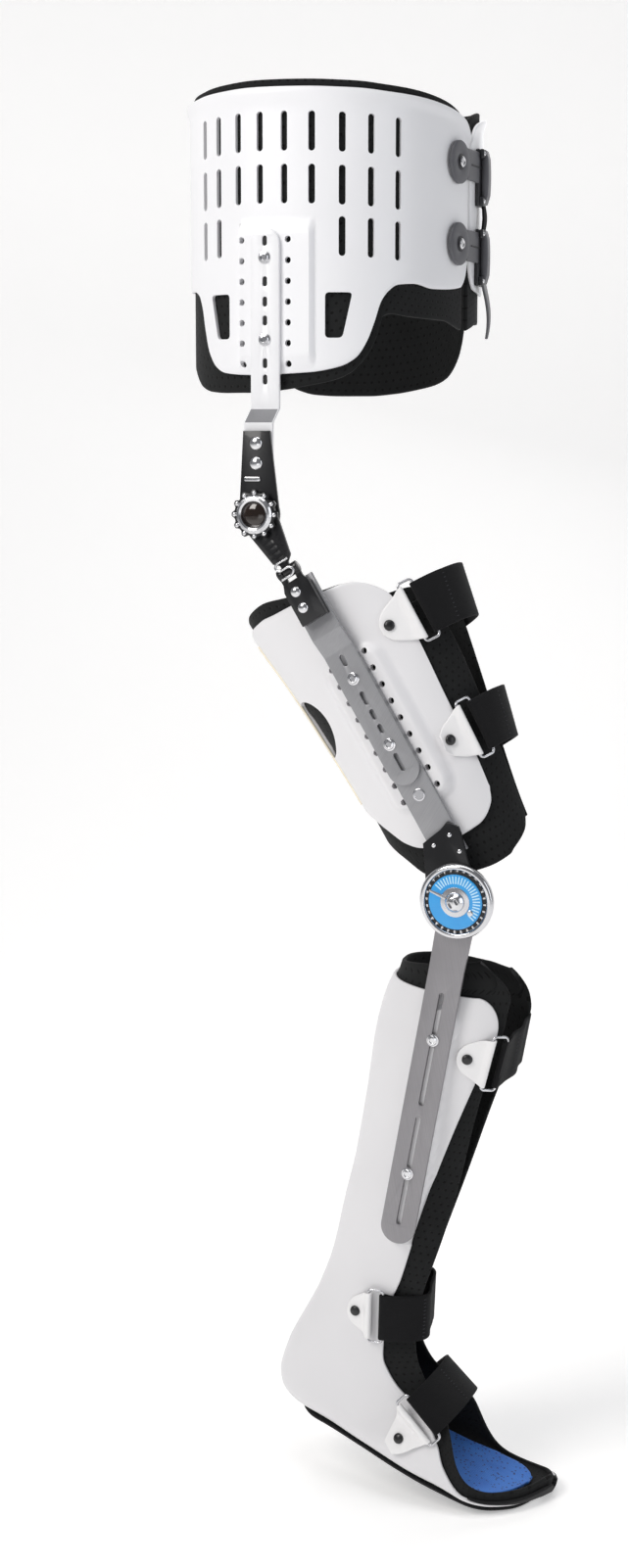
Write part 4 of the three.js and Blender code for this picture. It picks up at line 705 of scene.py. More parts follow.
def repeat(tree, positions, outward, upward, **values):
    """Runs a tree on points in mm and returns an object with a plain mesh."""
    positions = np.asarray(positions, float).reshape(-1, 3)
    mesh = bpy.data.meshes.new("points")
    mesh.from_pydata((positions * MM).tolist(), [], [])
    for label, value in (("outward", outward), ("upward", upward)):
        value = np.broadcast_to(np.asarray(value, float), positions.shape)
        attribute = mesh.attributes.new(label, "FLOAT_VECTOR", "POINT")
        attribute.data.foreach_set("vector", value.astype(np.float32).ravel())
    obj = loose(mesh)
    change = obj.modifiers.new("repeat", "NODES")
    change.node_group = tree
    names = {s.name: s.identifier for s in tree.interface.items_tree if s.in_out == "INPUT"}
    for label, value in values.items():
        change[names[label]] = value
    graph = bpy.context.evaluated_depsgraph_get()
    made = bpy.data.meshes.new_from_object(obj.evaluated_get(graph))
    obj.modifiers.clear()
    obj.data = made
    return obj


def repeated_piece(name, body, tree, positions, outward, upward, material, slot=None, **values):
    obj = repeat(tree, positions, outward, upward, Material=material, **values)
    obj.name = name
    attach(obj, body)
    return obj


print("trees:", SLOTS.name, "/", HEADS.name, "/", BARS.name)

# %% [markdown]
# The pelvic shells follow a squarish oval ring, 236 mm deep and 280 mm wide. A place on
# the shell is a length round that ring and a height. The outline is the CAD's table with a
# smooth curve through it, and the flat raised pad carries the hip bar.

# %% The ring
DEPTH, WIDTH, SQUARE = 236, 280, 2.3
ring_angles = np.linspace(0, math.pi, 2001)
ring_reach = (np.abs(2 * np.cos(ring_angles) / DEPTH) ** SQUARE
              + np.abs(2 * np.sin(ring_angles) / WIDTH) ** SQUARE) ** (-1 / SQUARE)
ring_x, ring_y = ring_reach * np.cos(ring_angles), -ring_reach * np.sin(ring_angles)
ring_lengths = np.concatenate([[0], np.cumsum(np.hypot(np.diff(ring_x), np.diff(ring_y)))])
GIRTH = ring_lengths[-1]
print("half girth", round(float(GIRTH), 1), "mm")


def ring_skin(place, out, height):
    """Points at a length round the ring from the front, a lift and a height, in mm."""
    place, out, height = np.broadcast_arrays(*[np.asarray(v, float) for v in (place, out, height)])
    side = np.where((place < 0) | (place > GIRTH), -1.0, 1.0)
    length = np.abs(place)
    length = np.where(length > GIRTH, 2 * GIRTH - length, length)
    angle = np.interp(length, ring_lengths, ring_angles)
    c, s = np.cos(angle), np.sin(angle)
    reach = (np.abs(2 * c / DEPTH) ** SQUARE + np.abs(2 * s / WIDTH) ** SQUARE) ** (-1 / SQUARE)
    x, y = reach * c, -reach * s
    nx = np.sign(x) * np.abs(x) ** (SQUARE - 1) / (DEPTH / 2) ** SQUARE
    ny = np.sign(y) * np.abs(y) ** (SQUARE - 1) / (WIDTH / 2) ** SQUARE
    size = np.hypot(nx, ny)
    return np.stack([x + out * nx / size, side * (y + out * ny / size), height], -1)


def ring_out(place):
    step = ring_skin(place, 1, 0) - ring_skin(place, 0, 0)
    return step / np.linalg.norm(step, axis=-1, keepdims=True)


# %% Pelvic outlines
shell_rows = np.array([
    [0.008, -0.24, 0.71], [0.022, -0.36, 0.79], [0.045, -0.42, 0.84], [0.156, -0.445, 0.92],
    [0.21, -0.42, 0.94], [0.25, -0.43, 0.95], [0.271, -0.47, 0.955], [0.288, -0.54, 0.96],
    [0.302, -0.67, 0.965], [0.317, -0.79, 0.97], [0.338, -0.89, 0.975], [0.372, -0.95, 0.98],
    [0.432, -0.985, 0.99], [0.552, -1, 1], [0.619, -0.985, 0.99], [0.648, -0.94, 0.985],
    [0.669, -0.85, 0.98], [0.684, -0.71, 0.975], [0.696, -0.57, 0.97], [0.715, -0.48, 0.965],
    [0.745, -0.45, 0.96], [0.86, -0.44, 0.93], [0.9, -0.42, 0.9], [0.915, -0.36, 0.83]])
liner_rows = np.array([
    [0.02, -0.69], [0.05, -0.67], [0.1, -0.64], [0.156, -0.635], [0.22, -0.625],
    [0.26, -0.61], [0.28, -0.63], [0.293, -0.75], [0.306, -0.84], [0.325, -0.92],
    [0.348, -0.985], [0.38, -1.03], [0.432, -1.065], [0.492, -1.095], [0.552, -1.11],
    [0.62, -1.11], [0.68, -1.1], [0.72, -1.07], [0.775, -0.98], [0.84, -0.89],
    [0.9, -0.8], [0.94, -0.76]])
shell_low = smooth_line(shell_rows[:, 0], shell_rows[:, 1] * 126)
shell_high = smooth_line(shell_rows[:, 0], shell_rows[:, 2] * 98)
liner_low = smooth_line(liner_rows[:, 0], liner_rows[:, 1] * 126)
PAD_FACE = 141.6


def pelvic_skins(side):
    share = np.linspace(0.008, 0.915, 230)[:, None]
    v = np.linspace(0, 1, 44)[None, :]
    low, high = shell_low(share), shell_high(share)
    height = low + (high - low) * v
    flare = 2.5 * ease((v - 0.93) / 0.07) + 0 * share
    place = share * GIRTH + 0 * v
    outer = ring_skin(place, flare, height)
    inner = ring_skin(place, flare - 3, height)
    if side < 0:
        inset = 35 - np.abs(place - 0.5 * GIRTH)
        inset = np.minimum(inset, np.minimum(-4 - height, height - low - 3))
        weight = ease(inset / 3.5)
        outer[..., 1] = -np.maximum(-outer[..., 1], PAD_FACE * weight)
    else:
        outer[..., 1] *= -1
        inner[..., 1] *= -1
    return outer, inner


# %% Slots, windows and lacing holes
slot_places = np.array([0.252, 0.31, 0.367, 0.426, 0.481, 0.532, 0.581, 0.633, 0.68])
slot_spots = [(p, 33) for p in slot_places] + [(p, 74) for p in slot_places]
slot_spots += [(p, 114) for k, p in enumerate(slot_places) if k not in (3, 4, 5, 6)]


def round_corners(points, radius, steps=4):
    """An outline with its corners rounded off."""
    made = []
    n = len(points)
    for k in range(n):
        here = np.array(points[k], float)
        a = np.array(points[k - 1], float) - here
        b = np.array(points[(k + 1) % n], float) - here
        a, b = a / np.linalg.norm(a), b / np.linalg.norm(b)
        for t in np.linspace(0, 1, steps + 1):
            corner = (1 - t) ** 2 * a * radius + t ** 2 * b * radius
            made.append(tuple(here + corner))
    return made


def pelvic_cutters(side):
    mirror = np.array([1, 1 if side < 0 else -1, 1])
    places = np.array([p for p, _ in slot_spots])
    heights = shell_high(places) - np.array([b for _, b in slot_spots])
    spots = ring_skin(places * GIRTH, 0, heights) * mirror
    out = ring_out(places * GIRTH) * mirror
    tools = [repeat(SLOTS, spots, out, (0, 0, 1), Width=0.0055, Length=0.031, Depth=0.024)]
    for place, hand in ((0.4, 1), (0.605, -1)):
        corners = [(0, 0), (hand * 22, 0), (hand * 14, -36), (0, -36)]
        outline = round_corners(corners, 3.5)
        if hand < 0:
            outline = outline[::-1]
        out = ring_out(place * GIRTH)
        along = np.cross([0, 0, 1], out)
        base = ring_skin(place * GIRTH, 0, -62)
        n = len(outline)
        flat = [base + along * x + np.array([0, 0, z]) for x, z in outline]
        points = np.array([p - 12 * out for p in flat] + [p + 12 * out for p in flat]) * mirror
        mesh = bpy.data.meshes.new("window")
        faces = [tuple(range(n)), tuple(range(2 * n - 1, n - 1, -1))]
        faces += [(i, n + i, n + (i + 1) % n, (i + 1) % n) for i in range(n)]
        mesh.from_pydata((points * MM).tolist(), [], faces)
        body = bmesh.new()
        body.from_mesh(mesh)
        bmesh.ops.recalc_face_normals(body, faces=body.faces)
        body.to_mesh(mesh)
        body.free()
        tools.append(loose(mesh))
    if side < 0:
        places = [0.52 * GIRTH + s * 20 for s in (-1, 1) for _ in range(7)]
        heights = [-20 - k * 16.4 for _ in range(2) for k in range(7)]
        spots = ring_skin(places, 0, heights)
        out = ring_out(np.array(places))
        tools.append(repeat(SLOTS, spots, out, (0, 0, 1),
                            Width=0.0052, Length=0.0053, Depth=0.024))
    return tools


for side, word in ((-1, "right"), (1, "left")):
    outer, inner = pelvic_skins(side)
    mesh = closed_wall(outer, inner, 1.2)
    shell = link(f"pelvic_skin_{word}", mesh, shell_white, "pelvis", "shell_plastic",
                 [f"pelvic_shell_{word}"])
    cut_out(shell, pelvic_cutters(side))
    print(shell.name, len(shell.data.polygons), "faces")

# %% [markdown]
# The liners are foam sheets inside the shells. They stand out past the shell's top and
# bottom edges as a black border, so they are made the same way, 3.3 mm further in.

# %% Pelvic liners
for side, word in ((-1, "right"), (1, "left")):
    share = np.linspace(0.02, 0.94, 170)[:, None]
    v = np.linspace(0, 1, 40)[None, :]
    top = shell_high(np.minimum(share, 0.915)) + 6
    height = liner_low(share) + (top - liner_low(share)) * v
    place = share * GIRTH + 0 * v
    outer, inner = ring_skin(place, -3.4, height), ring_skin(place, -7.1, height)
    for skin in (outer, inner):
        skin[..., 1] *= -side
    mesh = closed_wall(outer, inner, 1.6)
    foam = link(f"pelvic_foam_{word}", mesh, foam_black, "pelvis", "liner_foam",
                [f"pelvic_liner_{word}"])
    print(foam.name, len(foam.data.polygons), "faces")

# %% [markdown]
# The thigh cuff wraps a tapering oval. Its outer skin swells into a flat channel under the
# bars, and an oval hole is cut at the back. The liner is the same skin moved inwards, with
# its own edges: it shows in front of the cuff, above it and below it.

# %% Thigh skin
thigh_rows = np.array([
    [0.14, 0.03, 0.545, 0.52], [0.23, 0.027, 0.53, 0.51], [0.355, 0.025, 0.49, 0.49],
    [0.59, 0.005, 0.42, 0.455], [0.73, -0.017, 0.38, 0.43], [0.91, -0.045, 0.35, 0.41],
    [1, -0.05, 0.345, 0.4]])
thigh_ahead, thigh_deep, thigh_wide = [
    smooth_line(thigh_rows[:, 0], thigh_rows[:, k]) for k in (1, 2, 3)]


def thigh_skin(angle, down, out):
    share = down / 352
    wide = thigh_wide(share) * 140
    a = np.radians(angle)
    x = thigh_ahead(share) * 180 + (thigh_deep(share) * 180 + out) * np.cos(a)
    return np.stack(np.broadcast_arrays(x, -144 + wide - (wide + out) * np.sin(a), -down), -1)


cuff_rows = np.array([
    [0, 0.2, 0.9, 1.13], [0.012, 0.12, 0.945, 1.14], [0.075, 0.02, 0.995, 1.145],
    [0.13, 0.005, 1, 1.135], [0.19, -0.01, 0.995, 1.12], [0.25, -0.02, 0.975, 1.096],
    [0.3, -0.03, 0.93, 1.06], [0.345, -0.03, 0.86, 0.99], [0.4, -0.02, 0.79, 0.93],
    [0.46, 0, 0.755, 0.88], [0.58, 0.04, 0.755, 0.87], [0.65, 0.06, 0.8, 0.91],
    [0.72, 0.08, 0.88, 0.98], [0.88, 0.12, 0.97, 1.08], [0.94, 0.15, 0.965, 1.08],
    [0.98, 0.2, 0.945, 1.07], [1, 0.27, 0.9, 1.05]])
cuff_top, cuff_bottom, cuff_liner = [
    smooth_line(cuff_rows[:, 0], cuff_rows[:, k]) for k in (1, 2, 3)]
edge_rows = np.array([[0, 58, 44], [0.15, 54, 38], [0.35, 51, 26], [0.6, 47, 17],
                      [0.8, 40, 9], [1, 38, 6], [1.15, 38, 8]])
shell_edge = smooth_line(edge_rows[:, 0], edge_rows[:, 1])
liner_edge = smooth_line(edge_rows[:, 0], edge_rows[:, 2])
CUFF_TOP, CUFF_HEIGHT = 78, 228


def raised(x, z, middle_z, half_x, half_z, corner, soft):
    """How much of a raised pad's full height a place has, from 0 to 1."""
    qx = np.abs(x) - half_x + corner
    qz = np.abs(z - middle_z) - half_z + corner
    outside = np.hypot(np.maximum(qx, 0), np.maximum(qz, 0))
    distance = outside + np.minimum(np.maximum(qx, qz), 0) - corner
    return ease(-distance / soft)


# %% Thigh shell
share = np.linspace(0, 1, 190)[:, None] ** 1.15
v = np.linspace(0, 1, 96)[None, :]
down = CUFF_TOP + (cuff_top(share) + (cuff_bottom(share) - cuff_top(share)) * v) * CUFF_HEIGHT
start = shell_edge((down - CUFF_TOP) / CUFF_HEIGHT)
angle = start + (306 - start) * share
outer, inner = thigh_skin(angle, down, 0), thigh_skin(angle, down, -3)
weight = raised(outer[..., 0], outer[..., 2], -202, 31, 72, 17, 8.5)
weight = np.where(outer[..., 1] < -100, weight, 0)
outer[..., 1] = np.where(weight > 0, outer[..., 1] * (1 - weight) - 147.5 * weight, outer[..., 1])
mesh = closed_wall(THIGH.point(outer), THIGH.point(inner), 1.2)
# The thigh skin takes the darker copy of the white shell plastic: painted shade.
cuff = link("thigh_skin", mesh, shell_shaded_thigh, "thigh", "shell_plastic", ["thigh_shell"])

lace = np.array([[s * 16.5, -135, -138 - k * 15.4] for s in (-1, 1) for k in range(9)])
tools = [repeat(SLOTS, THIGH.point(lace), (0, -1, 0), THIGH.turn([0, 0, 1]),
                Width=0.0052, Length=0.0053, Depth=0.034)]
centre, out = thigh_skin(150, 172, 0), thigh_skin(150, 172, 1) - thigh_skin(150, 172, 0)
out /= np.linalg.norm(out)
side = np.cross([0, 0, 1], out)
side /= np.linalg.norm(side)
up = np.cross(out, side)
turns = np.linspace(0, 2 * math.pi, 48, endpoint=False)
oval = [centre + side * 25 * math.cos(t) + up * 27 * math.sin(t) for t in turns]
points = THIGH.point(np.array([p - 30 * out for p in oval] + [p + 30 * out for p in oval]))
mesh = bpy.data.meshes.new("oval")
faces = [tuple(range(48)), tuple(range(95, 47, -1))]
faces += [(i, 48 + i, 48 + (i + 1) % 48, (i + 1) % 48) for i in range(48)]
mesh.from_pydata((points * MM).tolist(), [], faces)
body = bmesh.new()
body.from_mesh(mesh)
bmesh.ops.recalc_face_normals(body, faces=body.faces)
body.to_mesh(mesh)
body.free()
cut_out(cuff, [*tools, loose(mesh)])
print(cuff.name, len(cuff.data.polygons), "faces")

# %% Thigh liner
t = np.concatenate([np.linspace(-1, 0, 22), np.linspace(0, 16, 130)[1:],
                    np.linspace(16, 17, 8)[1:]])[:, None]
v = np.linspace(0, 1, 70)[None, :]
index = np.arange(17)
round_at = np.interp(np.clip(t, 0, 16), index, cuff_rows[:, 0])
above = 0.6 + 11.4 * np.clip((round_at - 0.12) / 0.14, 0, 1)
low = np.where(t < 0, 1.04 + (cuff_liner(round_at) - 1.04) * np.sqrt(np.clip(t + 1, 0, 1)),
               cuff_liner(round_at))
top_down = CUFF_TOP + cuff_top(round_at) * CUFF_HEIGHT - above
down = top_down + (CUFF_TOP + low * CUFF_HEIGHT - top_down) * v
place = (down - CUFF_TOP) / CUFF_HEIGHT
start, first = shell_edge(place), liner_edge(place)
angle = np.where(t < 0, first + (start - first) * (t + 1), start + (306 - start) * round_at)
angle = np.where(t > 16, 306 + 16 * (t - 16), angle)
outer, inner = thigh_skin(angle, down, -3.4), thigh_skin(angle, down, -7.1)
for _ in range(10):
    for grid in (outer, inner):
        grid[1:-1] = (grid[:-2] + 2 * grid[1:-1] + grid[2:]) / 4
mesh = closed_wall(THIGH.point(outer), THIGH.point(inner), 1.6)
foam = link("thigh_foam", mesh, foam_black, "thigh", "liner_foam", ["thigh_liner"])
print(foam.name, len(foam.data.polygons), "faces")

# %% [markdown]
# The leg shell runs from the calf over the heel and out under the foot as one skin. Each
# row of its table is a section: where it starts at the back or the sole, which way it goes,
# how far, and how wide and square it is. Smooth curves through the rows give the skin.

# %% Leg skin
leg_rows = np.array([
    [-0.236, 0.156, 0.1, 0.104, 0.48, 0.264, 2.2, 0, 0, 0.056],
    [-0.24, 0.17, 0.188, 0.134, 0.482, 0.272, 2.2, 0, 0, 0.052],
    [-0.244, 0.182, 0.112, 0.162, 0.485, 0.272, 2.2, 0, 0.1, 0.05],
    [-0.254, 0.2, 0.172, 0.184, 0.495, 0.28, 2.2, 0, 0.04, 0.05],
    [-0.262, 0.224, 0.188, 0.214, 0.5, 0.284, 2.2, 0, 0.024, 0.042],
    [-0.27, 0.284, 0.156, 0.29, 0.5, 0.276, 2.2, 0, 0.028, 0.02],
    [-0.262, 0.41, 0.104, 0.41, 0.465, 0.264, 2.2, 0, 0.06, 0],
    [-0.262, 0.5, 0.068, 0.504, 0.43, 0.26, 2.2, 0, 0.088, 0],
    [-0.274, 0.6, 0.036, 0.6, 0.385, 0.252, 2.2, 0, 0.096, 0],
    [-0.282, 0.69, 0.012, 0.692, 0.35, 0.24, 2.2, 0, 0.088, 0],
    [-0.308, 0.77, -0.016, 0.764, 0.33, 0.25, 2.2, 0, 0.096, 0],
    [-0.384, 0.896, -0.004, 0.842, 0.315, 0.33, 2.5, 0, 0.11, 0],
    [-0.396, 0.944, 0.028, 0.87, 0.315, 0.37, 2.7, 0, 0.11, 0],
    [-0.372, 0.974, 0.076, 0.892, 0.32, 0.38, 3.4, 0, 0.096, 0],
    [-0.304, 0.992, 0.124, 0.904, 0.33, 0.37, 4.2, 0, 0.088, 0],
    [-0.18, 1, 0.172, 0.914, 0.35, 0.32, 5, 0, 0.08, 0],
    [-0.02, 1.01, 0.22, 0.928, 0.39, 0.25, 6, -0.01, 0.056, 0],
    [0.14, 1.022, 0.264, 0.95, 0.43, 0.19, 6, -0.02, 0.052, 0],
    [0.26, 1.03, 0.304, 0.984, 0.448, 0.14, 5, -0.024, 0.06, 0],
    [0.388, 1.039, 0.388, 1.026, 0.445, 0.056, 4, -0.022, 0.052, 0],
    [0.46, 1.043, 0.46, 1.031, 0.415, 0.056, 4, -0.01, 0.04, 0],
    [0.524, 1.042, 0.524, 1.03, 0.355, 0.056, 4, 0.012, 0.032, 0],
    [0.576, 1.038, 0.576, 1.026, 0.275, 0.056, 4, 0.036, 0.028, 0],
    [0.612, 1.034, 0.612, 1.022, 0.18, 0.056, 4, 0.06, 0.028, 0],
    [0.64, 1.031, 0.64, 1.019, 0.035, 0.056, 4, 0.074, 0.028, 0]])
FOOT, KNEE_TO_SOLE, LEG_WIDTH, LEG_MIDDLE = 250, 500, 116, -86
leg_lines = [smooth_line(np.arange(25), leg_rows[:, k]) for k in range(10)]


def leg_point(row, turn):
    """A point of the outer skin; turn runs from -1 at the outer edge to 1 at the inner."""
    back_x, back_z, edge_x, edge_z, wide, deep, square, aside, pad, drop = [
        line(row) for line in leg_lines]
    corner = np.radians(np.clip((row - 2) / 2, 0, 1) * 90)
    edge_x = np.where(abs(row - 3) < 1, 0.112 + 0.076 * np.sin(corner), edge_x)
    edge_z = np.where(abs(row - 3) < 1, 0.214 - 0.052 * np.cos(corner), edge_z)
    x0, z0 = back_x * FOOT, -back_z * KNEE_TO_SOLE
    x1, z1 = edge_x * FOOT, -edge_z * KNEE_TO_SOLE
    span = np.hypot(x1 - x0, z1 - z0)
    gx, gz = (x1 - x0) / span, (z1 - z0) / span
    deep = deep * FOOT
    share = np.abs(turn)
    inner_margin = 1 - 0.6 * ease((row - 3) / 2)
    margin = pad * FOOT * np.where(turn > 0, inner_margin, 1)
    reach = span + margin * np.maximum(share - 1, 0)
    past = np.clip((reach - deep) / deep, -0.99, 0.98)
    wide_limit = math.pi / 2 + np.arcsin(np.maximum(past, 0))
    narrow_limit = np.arccos(np.clip(np.maximum(-past, 0) ** (square / 2), 0, 1))
    angle = np.minimum(share, 1) * np.where(past > 0, wide_limit, narrow_limit)
    c, s = np.cos(angle), np.sin(angle)
    power = 2 / np.where(c >= 0, square, 2)
    depth = deep * (1 - np.sign(c) * np.abs(c) ** power)
    across = np.sign(turn) * wide * LEG_WIDTH * np.abs(s) ** power
    lower = drop * KNEE_TO_SOLE * np.clip(turn, 0, 1) ** 1.5
    return np.stack([x0 + gx * depth, LEG_MIDDLE + aside * FOOT + across,
                     z0 + gz * depth - lower], -1)


def leg_normals(rows, turns):
    before = leg_point(np.maximum(rows - 0.45, 0), turns)
    after = leg_point(np.minimum(rows + 0.45, 24), turns)
    step = 0.07
    around = leg_point(rows, turns + step) - leg_point(rows, turns - step)
    normal = np.cross(after - before, around)
    normal /= np.linalg.norm(normal, axis=-1, keepdims=True) + 1e-9
    here = leg_point(rows, turns)
    middle = (leg_point(rows, turns * 0 - 0.98) + leg_point(rows, turns * 0 + 0.98)) / 2
    flip = np.sum(normal * (here - middle), -1) < 0
    normal[flip] *= -1
    return normal


def leg_skins(first, last, turns, inward, thick, steps):
    rows = np.linspace(first, last, steps)[None, :]
    turns = np.asarray(turns)[:, None]
    rows, turns = np.broadcast_arrays(rows, turns)
    here, normal = leg_point(rows, turns), leg_normals(rows, turns)
    return here - normal * inward, here - normal * (inward + thick)


# %% Leg shell
outer, inner = leg_skins(2, 23.5, np.linspace(-1, 1, 110), 0, 3, 190)
weight = raised(outer[..., 0], outer[..., 2], -201.5, 17, 108, 15, 3.0)
weight = np.where(outer[..., 1] < -110, weight, 0)
outer[..., 1] = np.where(weight > 0, outer[..., 1] * (1 - weight) - 147.5 * weight, outer[..., 1])
mesh = closed_wall(SHANK.point(outer), SHANK.point(inner), 1.2)
# The leg skin takes the darker copy of the white shell plastic: painted shade.
leg = link("leg_skin", mesh, shell_shaded_leg, "shank", "shell_plastic", ["leg_shell"])
vents = SHANK.point(np.array([[-68, LEG_MIDDLE, -185], [-67, LEG_MIDDLE, -205],
                              [-66, LEG_MIDDLE, -225]]))
cut_out(leg, [repeat(SLOTS, vents, SHANK.turn([-1, 0, 0]), (0, 1, 0),
                     Width=0.006, Length=0.026, Depth=0.022)])
print(leg.name, len(leg.data.polygons), "faces")

# %% Leg liner
turns = np.concatenate([np.linspace(-2, -1, 14)[:-1], np.linspace(-1, 1, 96),
                        np.linspace(1, 2, 8)[1:]])
outer, inner = leg_skins(0, 24, turns, 3.4, 3.7, 170)
for _ in range(24):
    for grid in (outer, inner):
        grid[:, 1:-1] = (grid[:, :-2] + 2 * grid[:, 1:-1] + grid[:, 2:]) / 4
mesh = closed_wall(SHANK.point(outer), SHANK.point(inner), 1.5)
foam = link("leg_foam", mesh, foam_black, "shank", "liner_foam", ["leg_liner"])
print(foam.name, len(foam.data.polygons), "faces")

# %% [markdown]
# The insole is a thin cushion of blue cloth over foam, and the outsole a thin black tread.
# Both follow the shell's floor, so they read the same table. A thin black cap wraps the
# white shell round the toes. It is a piece of the shell's own skin, a little thicker, and
# its first edge slants, so that the white runs out to a point under it.

# %% Insole and outsole
floor_rows = leg_rows[leg_rows[:, 1] > 0.97][:, [0, 1, 4, 7]]
floor_down, floor_wide, floor_aside = [
    smooth_line(floor_rows[:, 0], floor_rows[:, k]) for k in (1, 2, 3)]


def sole(first, last, lift, thick, margins, heel_round, toe_round, crown):
    i = np.linspace(0, 1, 90)[:, None]
    place = first + (last - first) * (1 - np.cos(math.pi * i)) / 2
    j = np.linspace(-1, 1, 31)[None, :]
    heel = np.minimum((place - first) / heel_round, 1)
    curve = np.sqrt(np.maximum(1 - (1 - heel) ** 2, 0.08))
    margin = margins[0] + (margins[1] - margins[0]) * np.clip((place - 0.3) / 0.1, 0, 1)
    toe = np.clip((place - last + toe_round) / toe_round, 0, 1)
    curve = curve * np.sqrt(np.maximum(1 - toe ** 2.6, 0.05))
    half = np.maximum(floor_wide(place) * LEG_WIDTH - margin, 3) * curve
    y = LEG_MIDDLE + floor_aside(place) * FOOT + half * j
    x = place * FOOT + 0 * j
    base = -floor_down(place) * KNEE_TO_SOLE + lift + 0 * j
    rise = crown * (np.abs(j) ** 2.5) * np.ones_like(place)
    top = np.stack([x, y, base + thick + rise], -1)
    bottom = np.stack([x, y, base], -1)
    return SHANK.point(top), SHANK.point(bottom)


top, bottom = sole(-0.29, 0.556, 9.1, 2.5, (17, 13.5), 0.14, 0.12, 0.8)
pad = link("foot_pad", closed_wall(top, bottom, 1.2), insole_blue, "shank", "insole_cloth",
           ["insole"])
top, bottom = sole(-0.29, 0.6, -2, 1.4, (8, 8), 0.1, 0.06, 0)
link("foot_tread", closed_wall(top, bottom, 0.6), outsole_black, "shank", "outsole_rubber",
     ["outsole"])

# %% Toe cap
CAP_RIM, CAP_FIRST, CAP_SLANT, CAP_LATEST, CAP_LAST, CAP_STEPS = 1.25, 19.3, 6, 22.8, 23.8, 60
turns = np.linspace(-CAP_RIM, CAP_RIM, 97)
first_rows = np.minimum(CAP_FIRST + CAP_SLANT * (CAP_RIM - np.abs(turns)), CAP_LATEST)
rows = np.linspace(first_rows, CAP_LAST, CAP_STEPS).T
turns = np.broadcast_to(turns[:, None], rows.shape)
here, normal = leg_point(rows, turns), leg_normals(rows, turns)
proud = (0.1 + 0.7 * ease(np.linspace(0, 6, CAP_STEPS)))[None, :, None]
sunk = (3.2 - 2.2 * ease(np.linspace(-8, 1, CAP_STEPS)))[None, :, None]
mesh = closed_wall(SHANK.point(here + normal * proud), SHANK.point(here - normal * sunk), 0.4)
link("toe_cap", mesh, outsole_black, "shank", "outsole_rubber")
print("sole pieces made")

# %% [markdown]
# Flat plates and bars start as filled outlines: a flat curve with holes, given a thickness
# and a small bevel, made a mesh and stood up on the leg's side. A stepped bar is the same
# plate, cut across where it bends and moved outwards there.

# %% Plate helper
def arc(x, z, radius, first, last, steps=24):
    angles = np.radians(np.linspace(first, last, steps))
    return [(x + radius * math.cos(a), z + radius * math.sin(a)) for a in angles]


def stadium(width, length, x, z):
    half, straight = width / 2, (length - width) / 2
    return arc(x, z + straight, half, 0, 180, 9) + arc(x, z - straight, half, 180, 360, 9)


def plate_mesh(outline, holes, inner, outer, bevel=0.4):
    """A bevelled plate in X and Z between two depths along -Y, in mm."""
    data = bpy.data.curves.new("outline", "CURVE")
    data.dimensions, data.fill_mode = "2D", "BOTH"
    data.extrude, data.bevel_depth = (outer - inner) / 2 - bevel, bevel
    data.bevel_resolution, data.offset = 1 if bevel else 0, -bevel
    for points in [outline, *holes]:
        spline = data.splines.new("POLY")
        spline.points.add(len(points) - 1)
        for point, (x, z) in zip(spline.points, points):
            point.co = (x, z, 0, 1)
        spline.use_cyclic_u = True
    obj = bpy.data.objects.new("outline", data)
    bpy.context.scene.collection.objects.link(obj)
    graph = bpy.context.evaluated_depsgraph_get()
    mesh = bpy.data.meshes.new_from_object(obj.evaluated_get(graph))
    bpy.data.objects.remove(obj)
    body = bmesh.new()
    body.from_mesh(mesh)
    bmesh.ops.remove_doubles(body, verts=body.verts, dist=1e-4)
    for vertex in body.verts:
        x, z, up = vertex.co
        vertex.co = (x, -(inner + outer) / 2 - up, z)
    bmesh.ops.recalc_face_normals(body, faces=body.faces)
    body.to_mesh(mesh)
    body.free()
    return mesh


def bend_mesh(mesh, cuts, change):
    """Cuts a mesh across at some heights, then moves its points."""
    body = bmesh.new()
    body.from_mesh(mesh)
    for z in cuts:
        geometry = [*body.verts, *body.edges, *body.faces]
        bmesh.ops.bisect_plane(body, geom=geometry, plane_co=(0, 0, z), plane_no=(0, 0, 1))
    for vertex in body.verts:
        vertex.co = change(vertex.co)
    body.to_mesh(mesh)
    body.free()
    return mesh


def stand(name, mesh, place, finish, body, slot=None, replaces=(), angle=30):
    """Puts a mesh from a side-on frame, in mm, in its place."""
    points = np.array([v.co for v in mesh.vertices])
    points = place.point(points) * MM
    mesh.vertices.foreach_set("co", points.astype(np.float32).ravel())
    mesh.update()
    soften(mesh, angle)
    return link(name, mesh, finish, body, slot, replaces)


# %% Hip bar
def stepped(top, drop, first, second):
    def move(point):
        share = min(max((top - point[2]) / drop, 0), 1)
        return (point[0], point[1] - (second - first) * share, point[2])
    return move


HINGE_LAYER, UPPER_LAYER = 156.2, 151.6
outline = arc(-7, -11 - 12.5, 12.5, 0, 180) + [(-19.5, -206), (5.5, -206)]
holes = [stadium(4, 8, -7, z) for z in (-21, -53, -69, -84, -118, -131)]
mesh = plate_mesh(outline, holes, 141.9, 145.4, 0.5)
bend_mesh(mesh, [-153, -154, -155, -160, -165, -166, -167],
          stepped(-154, 12, 141.9, HINGE_LAYER))
stand("hip_bar_painted", mesh, PELVIS, bar_white, "pelvis", "hip_bar_paint", ["hip_bar"])
# A thin sheet in the aluminium finish over the bar's slanted step: painted shade on the step.
mesh = plate_mesh([(-18.9, -165.4), (4.9, -165.4), (4.9, -154.6), (-18.9, -154.6)], [],
                  145.35, 145.5, 0)
bend_mesh(mesh, [-160], stepped(-154, 12, 141.9, HINGE_LAYER))
stand("hip_bar_bend_shade", mesh, PELVIS, thigh_aluminium, "pelvis", "bar_aluminium")
